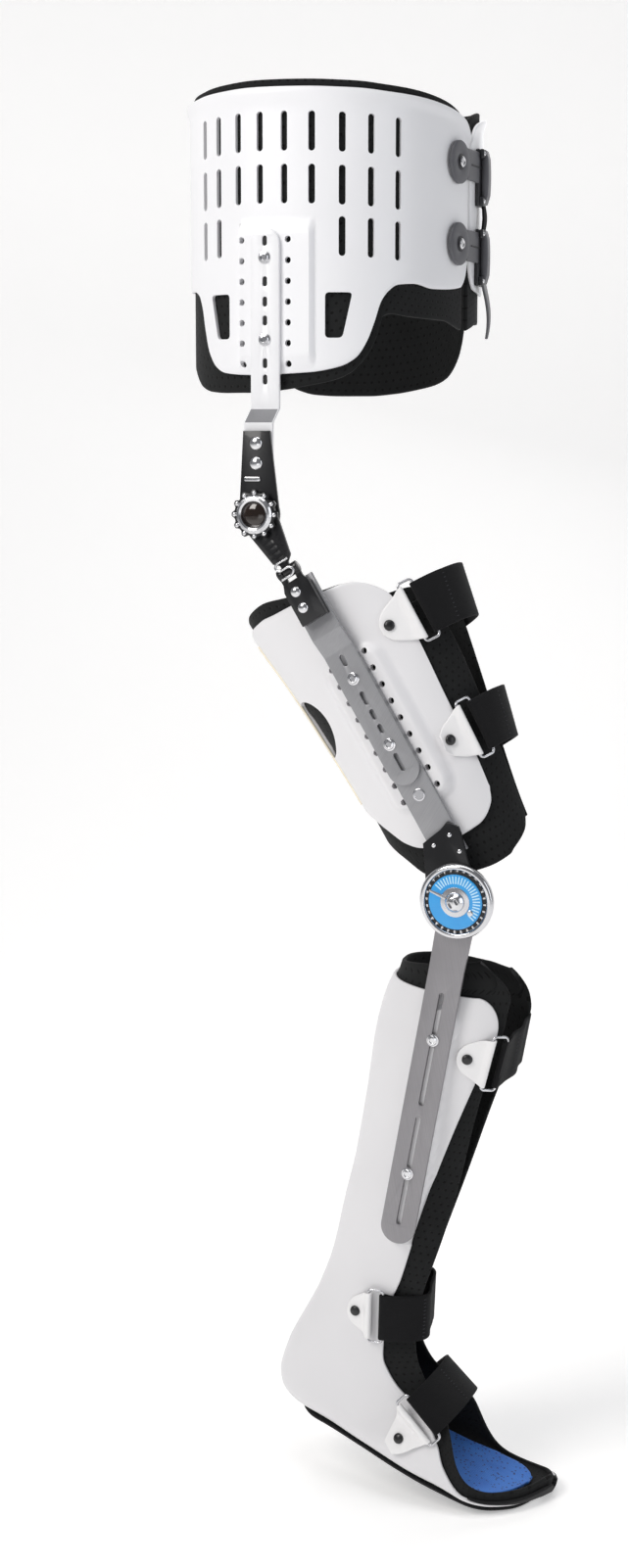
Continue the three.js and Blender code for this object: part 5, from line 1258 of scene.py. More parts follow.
# Thin near-black slots sit inside the hip bar's through holes: painted shade where the holes look
# dark.
dark = [[-7, -143.6, z] for z in (-21, -53, -69, -84, -118, -131)]
repeated_piece("hip_bar_hole_shade", "pelvis", SLOTS, dark, (0, -1, 0), (0, 0, 1), hole_shade_black,
               Width=0.0042, Length=0.0082, Depth=0.0008)

# %% Thigh bars
outline = [(14, -62), (14, -237)] + arc(0, -237, 14, 0, -180) + [(-14, -62)]
holes = [stadium(4, length, 0, -drop) for drop, length in
         ((137, 10), (172, 12), (187, 9), (200, 8), (231, 16))]
mesh = plate_mesh(outline, holes, HINGE_LAYER, 159.7, 0.5)
bend_mesh(mesh, [-111, -112, -113, -120, -127, -128, -129],
          stepped(-112, 16, HINGE_LAYER, UPPER_LAYER))
stand("upper_thigh_strip", mesh, THIGH, thigh_aluminium, "thigh", "bar_aluminium",
      ["thigh_bar_upper"])
mesh = plate_mesh([(14, -142), (14, -319), (-14, -319), (-14, -142)], [], 147.8, 151.3, 0.5)
stand("lower_thigh_strip", mesh, THIGH, thigh_aluminium, "thigh", "bar_aluminium",
      ["thigh_bar_lower"])

# %% Shank bar
outline = arc(0, 0, 27, -54, 234, 48) + [(-15, -60)] + arc(0, -289, 15, 180, 360) + [(15, -60)]
holes = [stadium(4.2, b - a, 0, -(a + b) / 2) for a, b in
         ((81, 118), (127, 180), (190, 236), (246, 287))]
mesh = plate_mesh(outline, holes, 147.8, 151.3, 0.5)
stand("shank_strip", mesh, SHANK, shank_aluminium, "shank", "bar_aluminium", ["shank_bar"])
print("bars made")

# %% [markdown]
# Round parts are turned from a profile: radius and rise, from the base outwards. The turned
# shape faces outwards from the leg, along -Y.


# %% Turned parts
def turned(profile, x, base, z, sides=64):
    """A profile of (radius, rise) turned about an axis along -Y, at a depth along -Y."""
    body = bmesh.new()
    rings = []
    for radius, rise in profile:
        if radius < 1e-6:
            rings.append([body.verts.new((x, -base - rise, z))])
            continue
        ring = []
        for k in range(sides):
            a = 2 * math.pi * k / sides
            ring.append(body.verts.new((x + radius * math.cos(a), -base - rise,
                                        z + radius * math.sin(a))))
        rings.append(ring)
    for a, b in zip(rings[:-1], rings[1:]):
        for k in range(sides):
            n = (k + 1) % sides
            if len(a) == 1 and len(b) == 1:
                continue
            if len(a) == 1:
                body.faces.new((a[0], b[k], b[n]))
            elif len(b) == 1:
                body.faces.new((a[k], a[n], b[0]))
            else:
                body.faces.new((a[k], a[n], b[n], b[k]))
    bmesh.ops.recalc_face_normals(body, faces=body.faces)
    mesh = bpy.data.meshes.new("turned")
    body.to_mesh(mesh)
    body.free()
    return mesh


def bevelled(radius, height, bevel=0.5):
    return [(0, 0), (radius, 0), (radius, height - bevel), (radius - 0.3 * bevel,
            height - 0.3 * bevel), (radius - bevel, height), (0, height)]


# %% [markdown]
# The bars are held by short bolts through their slots, which set the leg's length once.
# A bolt shows a flat washer and a low head with a hollow, both turned.

# %% Bolts
def bolt(name, place, x, base, z, body, node):
    washer = turned(bevelled(5.2, 0.8, 0.3), x, base, z, 40)
    stand(f"{name}_washer", washer, place, chrome, body, "chrome_steel")
    head = turned([(0, 0.7), (4, 0.7), (4, 1.9), (3.5, 2.6), (2.3, 2.8), (2.1, 1.7), (0, 1.7)],
                  x, base, z, 40)
    stand(name, head, place, chrome, body, "chrome_steel", [node])


for k, z in enumerate((-34, -99)):
    bolt(f"hip_bar_screw_{k + 1}", PELVIS, -7, 145.4, z, "pelvis", f"hip_bar_bolt_{k + 1}")
for k, z in enumerate((-154, -215)):
    bolt(f"thigh_screw_{k + 1}", THIGH, 0, 155.1, z, "thigh", f"thigh_bar_bolt_{k + 1}")
for k, z in enumerate((-122, -241)):
    bolt(f"shank_screw_{k + 1}", SHANK, 0, 151.3, z, "shank", f"shank_bar_bolt_{k + 1}")

# %% [markdown]
# The hip hinge: a black plate with two domed rivets, a notched chrome cover round a dark
# lens, a link and a knuckle plate. The link and the knuckle plate keep the CAD's shape,
# with its edges rounded off on a merged copy.


# %% CAD copies with rounded edges
def refined(name, node, finish, body, slot, width=0.35):
    mesh = nodes[node].data.copy()
    shape = bmesh.new()
    shape.from_mesh(mesh)
    bmesh.ops.remove_doubles(shape, verts=shape.verts, dist=2e-6)
    bmesh.ops.dissolve_limit(shape, angle_limit=math.radians(2), verts=shape.verts,
                             edges=shape.edges)
    shape.to_mesh(mesh)
    shape.free()
    obj = loose(mesh)
    change = obj.modifiers.new("edges", "BEVEL")
    change.width, change.segments = width * MM, 2
    change.limit_method, change.angle_limit = "ANGLE", math.radians(40)
    graph = bpy.context.evaluated_depsgraph_get()
    made = bpy.data.meshes.new_from_object(obj.evaluated_get(graph))
    bpy.data.objects.remove(obj)
    soften(made, 35)
    return link(name, made, finish, body, slot, [node])


# %% Hip hinge
HIP_X, HIP_Z = -5, -239
outline = ([(4.5, -172), (-18.5, -172)] + arc(HIP_X, HIP_Z, 18, 162, 378, 40))
mesh = plate_mesh(outline, [], 160, 164, 0.7)
stand("hip_plate", mesh, PELVIS, plate_black, "pelvis", "plate_black", ["hip_upper_plate"])
refined("hip_arm", "hip_link", plate_black, "hip_link", "plate_black")
refined("knuckle_plate", "thigh_knuckle_plate", plate_black, "thigh", "plate_black")
repeated_piece("hip_plate_rivets", "pelvis", HEADS, [[-7, -164, -182], [-7, -164, -198]],
               (0, -1, 0), (0, 0, 1), chrome, "chrome_steel", Radius=0.0056, Height=0.45)
mesh = plate_mesh(round_corners([(-17, -212.5), (-3, -212.5), (-3, -209), (-17, -209)], 1.2),
                  [], 163.8, 165.4, 0.4)
stand("hip_plate_stop", mesh, PELVIS, chrome, "pelvis", "chrome_steel")

mouth = []
for k in range(24):
    radius = 20 if k % 2 == 0 else 17.6
    for offset in (-0.27, 0.27):
        a = 2 * math.pi * (k + offset) / 24
        mouth.append((HIP_X + radius * math.cos(a), HIP_Z + radius * math.sin(a)))
mesh = plate_mesh(mouth, [arc(HIP_X, HIP_Z, 13.2, 0, 360, 49)[:-1]], 168.6, 173.4, 0.9)
stand("hip_cover_ring", mesh, PELVIS, plate_black, "pelvis", "plate_black",
      ["hip_hinge_cover"])
ring_profile = [(10.2, 0), (15.6, 0), (15.6, 5.4), (14.4, 6.9), (12.6, 7.2), (11, 6.4),
                (10.2, 4.8), (10.2, 0)]
mesh = turned(ring_profile, HIP_X, 168.4, HIP_Z)
stand("hip_cover_chrome", mesh, PELVIS, chrome, "pelvis", "chrome_steel")
studs = np.radians(np.arange(12) * 30)
spots = np.stack([HIP_X + 17.3 * np.cos(studs), -173.0 + 0 * studs,
                  HIP_Z + 17.3 * np.sin(studs)], -1)
repeated_piece("hip_cover_studs", "pelvis", HEADS, spots, (0, -1, 0), (0, 0, 1), chrome,
               "chrome_steel", Radius=0.0019, Height=0.7)
lens_profile = [(10.4, 0), (10.4, 3.4), (9.4, 4.6), (7, 5.6), (4, 6.2), (0, 6.4)]
mesh = turned(lens_profile, HIP_X, 168.4, HIP_Z)
stand("hip_cover_lens", mesh, PELVIS, lens_brown, "pelvis")
mesh = turned(bevelled(5, 12.4, 0.5), HIP_X, 158, HIP_Z, 40)
stand("hip_pin", mesh, PELVIS, chrome, "pelvis", "chrome_steel")

# %% Knuckle details
ribs = [[0, -168.3, z] for z in (-23, -28, -33, -38)]
repeated_piece("hip_arm_ribs", "hip_link", BARS, THIGH.point(ribs), (0, -1, 0),
               THIGH.turn([0, 0, 1]), plate_black, "plate_black", Size=(0.0145, 0.0022, 0.0012))
heads = [[-2.4, -168.3, -70.6], [-3.5, -168.3, -84.7]]
repeated_piece("knuckle_rivets", "thigh", HEADS, THIGH.point(heads), (0, -1, 0), (0, 0, 1),
               chrome, "chrome_steel", Radius=0.0046, Height=0.5)


def wire_piece(name, points, radius, finish, body, slot, cyclic=False, replaces=()):
    """A round wire along points in mm, as a plain mesh with closed ends."""
    data = bpy.data.curves.new("wire", "CURVE")
    data.dimensions = "3D"
    data.bevel_depth, data.bevel_resolution = radius * MM, 4
    data.use_fill_caps = True
    spline = data.splines.new("POLY")
    spline.points.add(len(points) - 1)
    for point, place in zip(spline.points, points):
        point.co = (*[float(v) * MM for v in place], 1)
    spline.use_cyclic_u = cyclic
    obj = bpy.data.objects.new("wire", data)
    bpy.context.scene.collection.objects.link(obj)
    graph = bpy.context.evaluated_depsgraph_get()
    mesh = bpy.data.meshes.new_from_object(obj.evaluated_get(graph))
    bpy.data.objects.remove(obj)
    mesh.shade_smooth()
    return link(name, mesh, finish, body, slot, replaces)


clip = [(6.5, -44), (-3, -44), (-6.8, -47), (-3, -50.5), (3, -50.5), (6.8, -54), (3, -57.5),
        (-6.5, -57.5)]
clip = np.array([[x, -172.4, z] for x, z in clip])
steps = np.linspace(0, len(clip) - 1, 60)
line = np.stack([smooth_line(np.arange(len(clip)), clip[:, k])(steps) for k in range(3)], -1)
wire_piece("knuckle_spring", THIGH.point(line), 1.1, chrome, "thigh", "chrome_steel")

# %% [markdown]
# A thin cream line runs down the back of the thigh cuff: painted shade along the rear edge,
# where the shell turns away. A round wire laid on the skin at one turn gives a clean line
# there, where a painted stripe would blur.

# %% Thigh rear edge shade line
EDGE_SHADE_TURN = 157
down = np.linspace(84, 244, 80)
rear = THIGH.point(thigh_skin(EDGE_SHADE_TURN + 0 * down, down, 0.1))
wire_piece("thigh_edge_shade_line", rear, 1.2, edge_shade_paint, "thigh", "shell_plastic")

# %% [markdown]
# The knee hinge is a black plate under a chrome bowl. A black toothed ring and a blue dial
# with rays lie in the bowl, with a slotted chrome knob and a pointer on top.

# %% Knee hinge
KNEE_X, KNEE_Z = -13, -352
outline = [(3, -295), (-16, -298)] + arc(KNEE_X, KNEE_Z, 27, 144, 396, 60)
outline += [(18, -300), (11, -292)]
mesh = plate_mesh(outline, [], UPPER_LAYER, 155.6, 0.5)
stand("knee_cheek", mesh, THIGH, plate_black, "thigh", "plate_black", ["knee_plate"])
dots = [[7.9, -155.8, -302.3], [-8.4, -155.8, -303.6], [8.6, -155.8, -317.9]]
repeated_piece("knee_cheek_rivets", "thigh", HEADS, THIGH.point(dots), (0, -1, 0), (0, 0, 1),
               chrome, "chrome_steel", Radius=0.0019, Height=0.5)
profile = [(0, 0), (29.6, 0), (31, 1.2), (31, 4.6), (30.2, 6.2), (28.6, 7), (27.4, 7),
           (26.4, 6.3), (26, 5), (26, 3.6), (0, 3.6)]
mesh = turned(profile, KNEE_X, 155.9, KNEE_Z, 96)
stand("knee_bowl", mesh, THIGH, chrome, "thigh", "chrome_steel", ["knee_housing"], 40)

teeth = []
for k in range(28):
    for radius, offset in ((25.7, -0.25), (25.7, 0.25), (23.9, 0.3), (23.9, 0.7)):
        a = 2 * math.pi * (k + offset) / 28
        teeth.append((KNEE_X + radius * math.cos(a), KNEE_Z + radius * math.sin(a)))
mesh = plate_mesh(teeth, [], 159.6, 161.6, 0)
stand("knee_toothed_ring", mesh, THIGH, plate_black, "thigh", "plate_black")
profile = [(0, 0), (22.6, 0), (22.6, 2.4), (22.2, 2.9), (21.4, 3.1), (0, 3.1)]
mesh = turned(profile, KNEE_X, 160.2, KNEE_Z, 96)
stand("knee_face", mesh, THIGH, dial_blue, "thigh", "dial_blue", ["knee_dial"])

rays = np.radians(np.arange(-72, 112, 7.6))
spots = np.stack([KNEE_X + 18.2 * np.cos(rays), -163.25 + 0 * rays,
                  KNEE_Z + 18.2 * np.sin(rays)], -1)
along = np.stack([-np.sin(rays), 0 * rays, np.cos(rays)], -1)
repeated_piece("knee_dial_rays", "thigh", BARS, THIGH.point(spots), (0, -1, 0),
               THIGH.turn(along), dial_mark, "dial_blue", Size=(0.0062, 0.0011, 0.0004))
# The ring's teeth are real. Making them chrome on one half only is a painted highlight for the
# teeth that catch the light there.
rays = np.radians(np.arange(0, 360, 360 / 28) + 6)
spots = np.stack([KNEE_X + 24.7 * np.cos(rays), -161.4 + 0 * rays,
                  KNEE_Z + 24.7 * np.sin(rays)], -1)[14:]
along = np.stack([-np.sin(rays), 0 * rays, np.cos(rays)], -1)[14:]
repeated_piece("knee_ring_lit_teeth", "thigh", BARS, THIGH.point(spots), (0, -1, 0),
               THIGH.turn(along), chrome, "chrome_steel", Size=(0.0022, 0.0013, 0.0012))

profile = [(0, 0), (12.4, 0), (12.2, 0.5), (11.2, 0.8), (0, 0.8)]
mesh = turned(profile, KNEE_X, 163.2, KNEE_Z, 64)
stand("knee_knob_washer", mesh, THIGH, wire_steel, "thigh", "chrome_steel")
profile = [(0, 0), (8.2, 0), (8.2, 1.6), (7.6, 2.6), (6.4, 3.8), (5.2, 5.2), (4.4, 5.7), (0, 5.9)]
mesh = turned(profile, KNEE_X, 163.5, KNEE_Z, 64)
knob = stand("knee_turn_knob", mesh, THIGH, chrome, "thigh", "chrome_steel", ["knee_knob"])
slots = [[KNEE_X + side * 2.9, -168.6, KNEE_Z] for side in (-1, 1)]
cut_out(knob, [repeat(SLOTS, THIGH.point(slots), (0, -1, 0), THIGH.turn([0, 0, 1]),
                      Width=0.0026, Length=0.0058, Depth=0.004)])
mesh = plate_mesh(round_corners([(-2.2, -5.6), (2.2, -5.6), (0.9, 23.4), (-0.9, 23.4)], 0.8),
                  [], 163.3, 164.2, 0.25)
turn = math.radians(38)
for vertex in mesh.vertices:
    x, y, z = vertex.co
    vertex.co = (KNEE_X + x * math.cos(turn) - z * math.sin(turn), y,
                 KNEE_Z + x * math.sin(turn) + z * math.cos(turn))
stand("knee_pointer", mesh, THIGH, wire_steel, "thigh", "chrome_steel")
mesh = turned([(0, 0), (2.4, 0), (2.4, 0.8), (1.7, 1.3), (0, 1.4)], -6, 163.2, -365.5, 24)
stand("knee_small_screw", mesh, THIGH, chrome, "thigh", "chrome_steel")
mesh = turned([(0, 0), (5.2, 0), (5.2, 0.7), (4.6, 1), (3.9, 1), (3.6, 0.6), (0, 0.6)],
              0, 151.2, -262, 40)
stand("thigh_strip_button", mesh, THIGH, wire_steel, "thigh", "chrome_steel")
print("knee made")

# %% [markdown]
# Every strap fastening has a white tab, a wire loop, a black rivet and a black strap. The
# CAD's simple pieces say where each one lies. The new strap and tab are laid on them by
# rays along the skin, made smooth, and folded round the loop's wire like real ones.

# %% Laying on the CAD
def tree_of(node):
    obj = nodes[node]
    points = [obj.matrix_world @ v.co for v in obj.data.vertices]
    return BVHTree.FromPolygons(points, [tuple(p.vertices) for p in obj.data.polygons])


def points_of(node):
    obj = nodes[node]
    return np.array([obj.matrix_world @ v.co for v in obj.data.vertices]) / MM


def hits(tree, starts, towards):
    """Where rays meet a tree, in mm, with the gaps filled along each column."""
    found = np.full(starts.shape, np.nan)
    for index in np.ndindex(starts.shape[:2]):
        hit = tree.ray_cast(Vector(starts[index] * MM), Vector(towards[index]), 0.2)
        if hit[0] is not None:
            found[index] = np.array(hit[0]) / MM
    for j in range(found.shape[1]):
        good = ~np.isnan(found[:, j, 0])
        if not good.any():
            continue
        for k in range(3):
            found[:, j, k] = np.interp(np.arange(len(found)), np.flatnonzero(good),
                                       found[good, j, k])
    return found


def smoothed(grid, sigma):
    reach = int(3 * sigma) + 1
    kernel = np.exp(-0.5 * (np.arange(-reach, reach + 1) / sigma) ** 2)
    kernel /= kernel.sum()
    first, last = grid[:1], grid[-1:]
    low = 2 * first - grid[reach:0:-1]
    high = 2 * last - grid[-2:-reach - 2:-1]
    padded = np.concatenate([low, grid, high])
    made = np.empty_like(grid)
    for j in range(grid.shape[1]):
        for k in range(3):
            made[:, j, k] = np.convolve(padded[:, j, k], kernel, "valid")
    return made


def unit(v):
    return v / (np.linalg.norm(v, axis=-1, keepdims=True) + 1e-12)


# %% Fastenings
WIRE, TAB_THICK, REACH, FOLD_RADIUS = 1.15, 2.0, 13.0, 3.2


def fold(centre, go, out, across, sides, side, thick):
    """Rows round a wire, from under it to over it; side is +1 where they pass ahead."""
    outer, inner = [], []
    for turn in np.radians(np.linspace(-78, 78, 11)):
        reach = go * (side * math.cos(turn)) + out * math.sin(turn)
        outer.append([centre + across * s + reach * FOLD_RADIUS for s in sides])
        inner.append([centre + across * s + reach * (FOLD_RADIUS - thick) for s in sides])
    return np.array(outer), np.array(inner)


def fasten(name, body, place, skin, turn_per_mm, loop_turn, down, width, tab_length, end_turn):
    loop = points_of(f"{name}_loop")
    middle = loop.mean(0)
    axes = np.linalg.svd(loop - middle, full_matrices=False)[2]
    across, go, out = axes
    at = place.point(skin(np.array(loop_turn), np.array(down), 0))
    ahead = place.point(skin(np.array(loop_turn + turn_per_mm), np.array(down), 0)) - at
    lift = place.point(skin(np.array(loop_turn), np.array(down), 1)) - at
    go = go * np.sign(go @ ahead)
    out = out * np.sign(out @ lift)
    side = place.point(skin(np.array(loop_turn), np.array(down + 1), 0)) - at
    across = across * np.sign(across @ side)
    start = middle - go * REACH / 2

    half, corner = width / 2 + 3, 3.2
    line = []
    for a, b, first in ((1, 1, 0), (-1, 1, 90), (-1, -1, 180), (1, -1, 270)):
        for turn in np.radians(np.linspace(first, first + 90, 7)):
            x = REACH / 2 + a * (REACH / 2 - corner) + corner * math.cos(turn)
            y = b * (half - corner) + corner * math.sin(turn)
            line.append(start + go * x + across * y)
    wire_piece(f"{name}_wire", line, WIRE, wire_steel, body, "chrome_steel", True,
               [f"{name}_loop"])

    def laid(tree, steps, turns, sides, near, origin):
        """The CAD's top surface at distances from a wire, and the way out of it there."""
        place_down = down + np.broadcast_to(sides, (len(steps), sides.shape[-1]))
        round_ = np.broadcast_to(turns[:, None], place_down.shape)
        base = place.point(skin(round_, place_down, 0))
        far = place.point(skin(round_, place_down, 45))
        way = unit(far - base)
        flat = (origin + go * steps[:, None, None] + across * np.broadcast_to(
            sides, place_down.shape)[..., None])
        weight = ease((near - np.abs(steps)) / near * 2)[:, None, None]
        start_at = far * (1 - weight) + (flat + out * 40) * weight
        way = unit(way * (1 - weight) + out * weight)
        return hits(tree, start_at, -way), way

    steps = np.arange(0, (end_turn - loop_turn) / turn_per_mm - REACH, 1.6)
    turns = loop_turn + turn_per_mm * (REACH + steps)
    half = (width - 2) / 2
    sides = np.linspace(-half, half, 13) * np.ones((1, 1))
    probes = np.array([[-0.8 * half, 0.8 * half]])
    found, way = laid(tree_of(f"{name}_strap"), steps, turns, probes, 7.0, start + go * REACH)
    found, way = smoothed(found, 4.5), unit(smoothed(way, 4.5))
    share = ((sides + 0.8 * half) / (1.6 * half))[..., None]
    top = found[:, :1] + (found[:, 1:] - found[:, :1]) * share
    way = unit(way[:, :1] + (way[:, 1:] - way[:, :1]) * share)
    top = top - way * 0.1
    s = steps[:, None, None]
    full = 2.9 + 3.3 * np.exp(-(s / 5.0) ** 2)
    under_end = 17
    under = slice(under_end, 1, -1)
    thin = 1.45
    grow = thin + (2.7 - thin) * ease((s - 26) / 3)
    bend_out, bend_in = fold(start + go * REACH, go, out, across, sides[0], -1, thin)
    outer = np.concatenate([(top - way * full)[under], bend_out, top[2:]])
    inner = np.concatenate([(top - way * (full - thin))[under], bend_in,
                            (top - way * grow)[2:]])
    strap = link(f"{name}_band", closed_wall(outer, inner, 0.5), webbing_black, body,
                 "strap_webbing", [f"{name}_strap"])

    row = top[19, 1:-1] + way[19, 1:-1] * 0.05
    repeated_piece(f"{name}_stitches", body, BARS, row, way[19, 1:-1], across, thread_black,
                   "strap_webbing", Size=(0.0022, 0.0006, 0.0004))

    steps = np.linspace(tab_length, 0, 26)
    turns = loop_turn - turn_per_mm * steps
    share = 1 - steps / tab_length
    narrow = 0.42 + 0.58 * share
    rounding = np.sqrt(np.maximum(1 - (1 - np.minimum(share / 0.3, 1)) ** 2, 0.02))
    half = (width - 1) / 2 * narrow * (0.35 + 0.65 * rounding)
    sides = half[:, None] * np.linspace(-1, 1, 17)[None, :]
    place_down = down + sides
    round_ = np.broadcast_to(turns[:, None], place_down.shape)
    far = place.point(skin(round_, place_down * 0.97 + down * 0.03, 40))
    way = unit(far - place.point(skin(round_, place_down, 0)))
    flat = start - go * steps[:, None, None] + across * sides[..., None] + out * 40
    weight = ease((7 - steps) / 7 * 2)[:, None, None]
    way = unit(way * (1 - weight) + out * weight)
    found = hits(tree_of(f"{name}_tab"), far * (1 - weight) + flat * weight, -way)
    found = smoothed(found, 1.6)
    found[:, 0] = found[:, 1] + (found[:, 1] - found[:, 2])
    found[:, -1] = found[:, -2] + (found[:, -2] - found[:, -3])
    top = found
    bend_out, bend_in = fold(start, go, out, across, sides[-1], 1, 1.5)
    keep = slice(0, 25)
    near = np.exp(-(steps / 5.0) ** 2)[:, None, None]
    outer = np.concatenate([top[keep], bend_out[::-1]])
    inner = np.concatenate([(top - way * (TAB_THICK - 0.5 * near))[keep], bend_in[::-1]])
    link(f"{name}_plate", closed_wall(outer, inner, 0.7), tab_white, body, "shell_plastic",
         [f"{name}_tab"])

    rivet = points_of(f"{name}_rivet")
    axis = np.linalg.svd(rivet - rivet.mean(0), full_matrices=False)[2][2]
    axis = axis * np.sign(axis @ out)
    base = rivet.mean(0) + axis * ((rivet - rivet.mean(0)) @ axis).min()
    profile = [(0, 0), (4.5, 0), (4.5, 0.5), (4.1, 1.3), (3.2, 1.9), (1.8, 2.3), (0, 2.4)]
    mesh = turned(profile, 0, 0, 0, 40)
    side_axis = unit(np.cross(axis, across))
    up_axis = np.cross(side_axis, axis)
    local = np.array([v.co for v in mesh.vertices])
    world_points = (base + local[:, :1] * side_axis + local[:, 1:2] * -axis
                    + local[:, 2:] * up_axis) * MM
    mesh.vertices.foreach_set("co", world_points.astype(np.float32).ravel())
    mesh.update()
    soften(mesh, 40)
    link(f"{name}_stud", mesh, rivet_black, body, "rivet_black", [f"{name}_rivet"])


for name, down, width, turn, length in (("thigh_upper", 130, 46, 50, 29),
                                        ("thigh_lower", 235, 44, 42, 25)):
    radius = thigh_deep(down / 352) * 180
    fasten(name, "thigh", THIGH, thigh_skin, -180 / math.pi / radius, turn, down, width, length,
           306 - 360 - 22)


def leg_oval(ahead, top, lean, deep, wide):
    c, s = math.cos(math.radians(lean)), math.sin(math.radians(lean))

    def skin(turn, place, out):
        a = np.radians(turn)
        forward = (deep + out) * np.cos(a)
        x = ahead + c * forward + s * place
        z = -top + s * forward - c * place
        return np.stack(np.broadcast_arrays(x, LEG_MIDDLE - (wide + out) * np.sin(a), z), -1)
    return skin


for name, width, turn, length, end, oval in (
        ("calf", 44, 46, 22, -70, (-8, 133, 0, 64, 57)),
        ("ankle", 42, 84, 20, -116, (-23, 386, 8, 47, 40)),
        ("instep", 40, 86, 24, -112, (42, 466, 57, 32, 51))):
    fasten(name, "shank", SHANK, leg_oval(*oval), -180 / math.pi / oval[3], turn, 0, width,
           length, end)
print("fastenings made")

# %% [markdown]
# Two closures hold the pelvic shells together in front. Each is a dark disc with an arm,
# riveted to the right shell, and a buckle with a lever on the left shell. The lower
# buckle's strap ends in a loose point. Two plain bands join the shells behind.

# %% Closures
def on_ring(mesh, place, height, lift):
    """Stands a mesh made flat in X and Z, rising along -Y, on the ring at a place."""
    out = ring_out(np.array(float(place)))
    side = np.cross([0, 0, 1], out)
    base = ring_skin(place, lift, height)
    local = np.array([v.co for v in mesh.vertices])
    points = base + local[:, :1] * side - local[:, 1:2] * out + local[:, 2:] * [0, 0, 1]
    mesh.vertices.foreach_set("co", (points * MM).astype(np.float32).ravel())
    mesh.update()
    return mesh


def ring_plate(first, last, low, high, lift, thick, bulge, steps=20, rows=8):
    places = np.linspace(first, last, steps)[:, None]
    heights = np.linspace(0, 1, rows)[None, :] * (high - low) + low
    return closed_wall(ring_skin(places, lift + thick, heights),
                       ring_skin(places, lift, heights), bulge)


for label, height in (("upper", 47), ("lower", -19)):
    disc = turned([(3.6, 0), (17.5, 0), (17.5, 2.1), (17.1, 2.7), (16.3, 3), (4.2, 3), (3.6, 2.6),
                   (3.6, 0)], 0, 0, 0, 72)
    mesh = on_ring(disc, 30, height, 1.5)
    soften(mesh, 40)
    link(f"closure_disc_{label}", mesh, closure_grey, "pelvis", "closure_plastic")
    mesh = ring_plate(-16, 15, height - 12, height + 12, 1.0, 2.8, 0.8)
    link(f"closure_arm_{label}", mesh, closure_grey, "pelvis", "closure_plastic",
         [f"ladder_strap_{label}"])
    teeth = np.array([ring_skin(place, 3.9, height) for place in np.arange(-14.5, -4, 2.4)])
    ways = np.array([ring_out(np.array(place)) for place in np.arange(-14.5, -4, 2.4)])
    repeated_piece(f"closure_teeth_{label}", "pelvis", BARS, teeth, ways, np.cross([0, 0, 1], ways),
                   closure_dark, "closure_plastic", Size=(0.0012, 0.021, 0.0008))
    mesh = on_ring(turned([(0, 0), (2.4, 0), (2.4, 3.9), (6.3, 4.0), (6.3, 4.5), (0, 4.5)],
                          0, 0, 0, 48), 30, height, 0.4)
    soften(mesh, 30)
    link(f"closure_eye_{label}", mesh, closure_dark, "pelvis", "closure_plastic")
    mesh = on_ring(turned([(0, 0), (2.4, 0), (2.4, 4.9), (4.4, 4.9), (4.4, 5.6), (3.7, 6.3),
                           (2.6, 6.4), (2, 5.7), (0, 5.5)], 0, 0, 0, 48), 30, height, 0.4)
    soften(mesh, 30)
    link(f"closure_eyelet_{label}", mesh, chrome, "pelvis", "chrome_steel",
         [f"closure_rivet_{label}"])

    middle = height - 8
    mesh = ring_plate(-33.6, -16.4, middle - 22.6, middle + 22.6, 0.4, 3.4, 1.2, 16, 24)
    link(f"buckle_base_{label}", mesh, closure_dark, "pelvis", "closure_plastic",
         [f"closure_buckle_{label}"])
    places = np.linspace(-33.4, -23, 18)[:, None]
    rise = np.linspace(0, 1, 34)[None, :]
    heights = middle - 21 + 43.5 * rise
    swell = 5.2 + 0.9 * np.sin(math.pi * rise) - 1.6 * np.clip((0.16 - rise) / 0.16, 0, 1)
    swell = swell - 1.4 * np.clip((rise - 0.86) / 0.14, 0, 1)
    mesh = closed_wall(ring_skin(places, 3.9 + swell, heights),
                       ring_skin(places, 3.9 + 0 * rise, heights), 1.0)
    link(f"buckle_lever_{label}", mesh, closure_grey, "pelvis", "closure_plastic")
    for side, low, high in (("top", 16.5, 22.6), ("bottom", -22.6, -16.5)):
        mesh = ring_plate(-23.4, -16.6, middle + low, middle + high, 3.7, 3.6, 0.9, 12, 8)
        link(f"buckle_ear_{side}_{label}", mesh, closure_dark, "pelvis", "closure_plastic")
    ear = ring_out(np.array(-19.5))
    pins = [ring_skin(-19.5, 7.3, middle + place) for place in (-19.5, 19.5)]
    repeated_piece(f"buckle_pins_{label}", "pelvis", HEADS, pins, ear, (0, 0, 1), chrome,
                   "chrome_steel", Radius=0.0019, Height=0.6)

rise = np.linspace(0, 1, 30)[:, None]
spread = np.linspace(-1, 1, 9)[None, :]
half = 4.2 + 1.2 * np.sin(math.pi * rise)
outer = ring_skin(-27 + half * spread, 5.6 + 1.5 * np.sin(math.pi * rise), 18 - 24 * rise)
inner = ring_skin(-27 + half * spread, 3.6 + 1.5 * np.sin(math.pi * rise), 18 - 24 * rise)
tie = link("buckle_tie", closed_wall(outer, inner, 0.6), webbing_black, "pelvis",
           "strap_webbing")
half = 7.2 - 5.4 * rise ** 1.3
drop = -48 - 46 * rise
lift = 4.2 + 5.2 * np.sin(math.pi * np.minimum(rise * 0.75, 1)) - 1.2 * rise
outer = ring_skin(-29.5 - 3 * rise + half * spread, lift + 2.0, drop)
inner = ring_skin(-29.5 - 3 * rise + half * spread, lift + 0 * spread, drop)
link("closure_tail", closed_wall(outer, inner, 0.7), closure_grey, "pelvis", "closure_plastic")

# %% [markdown]
# Two short webbing bands join the shells behind, sewn down at both ends. Each lies on the
# ring's skin, so it is a thin wall between two copies of that skin.

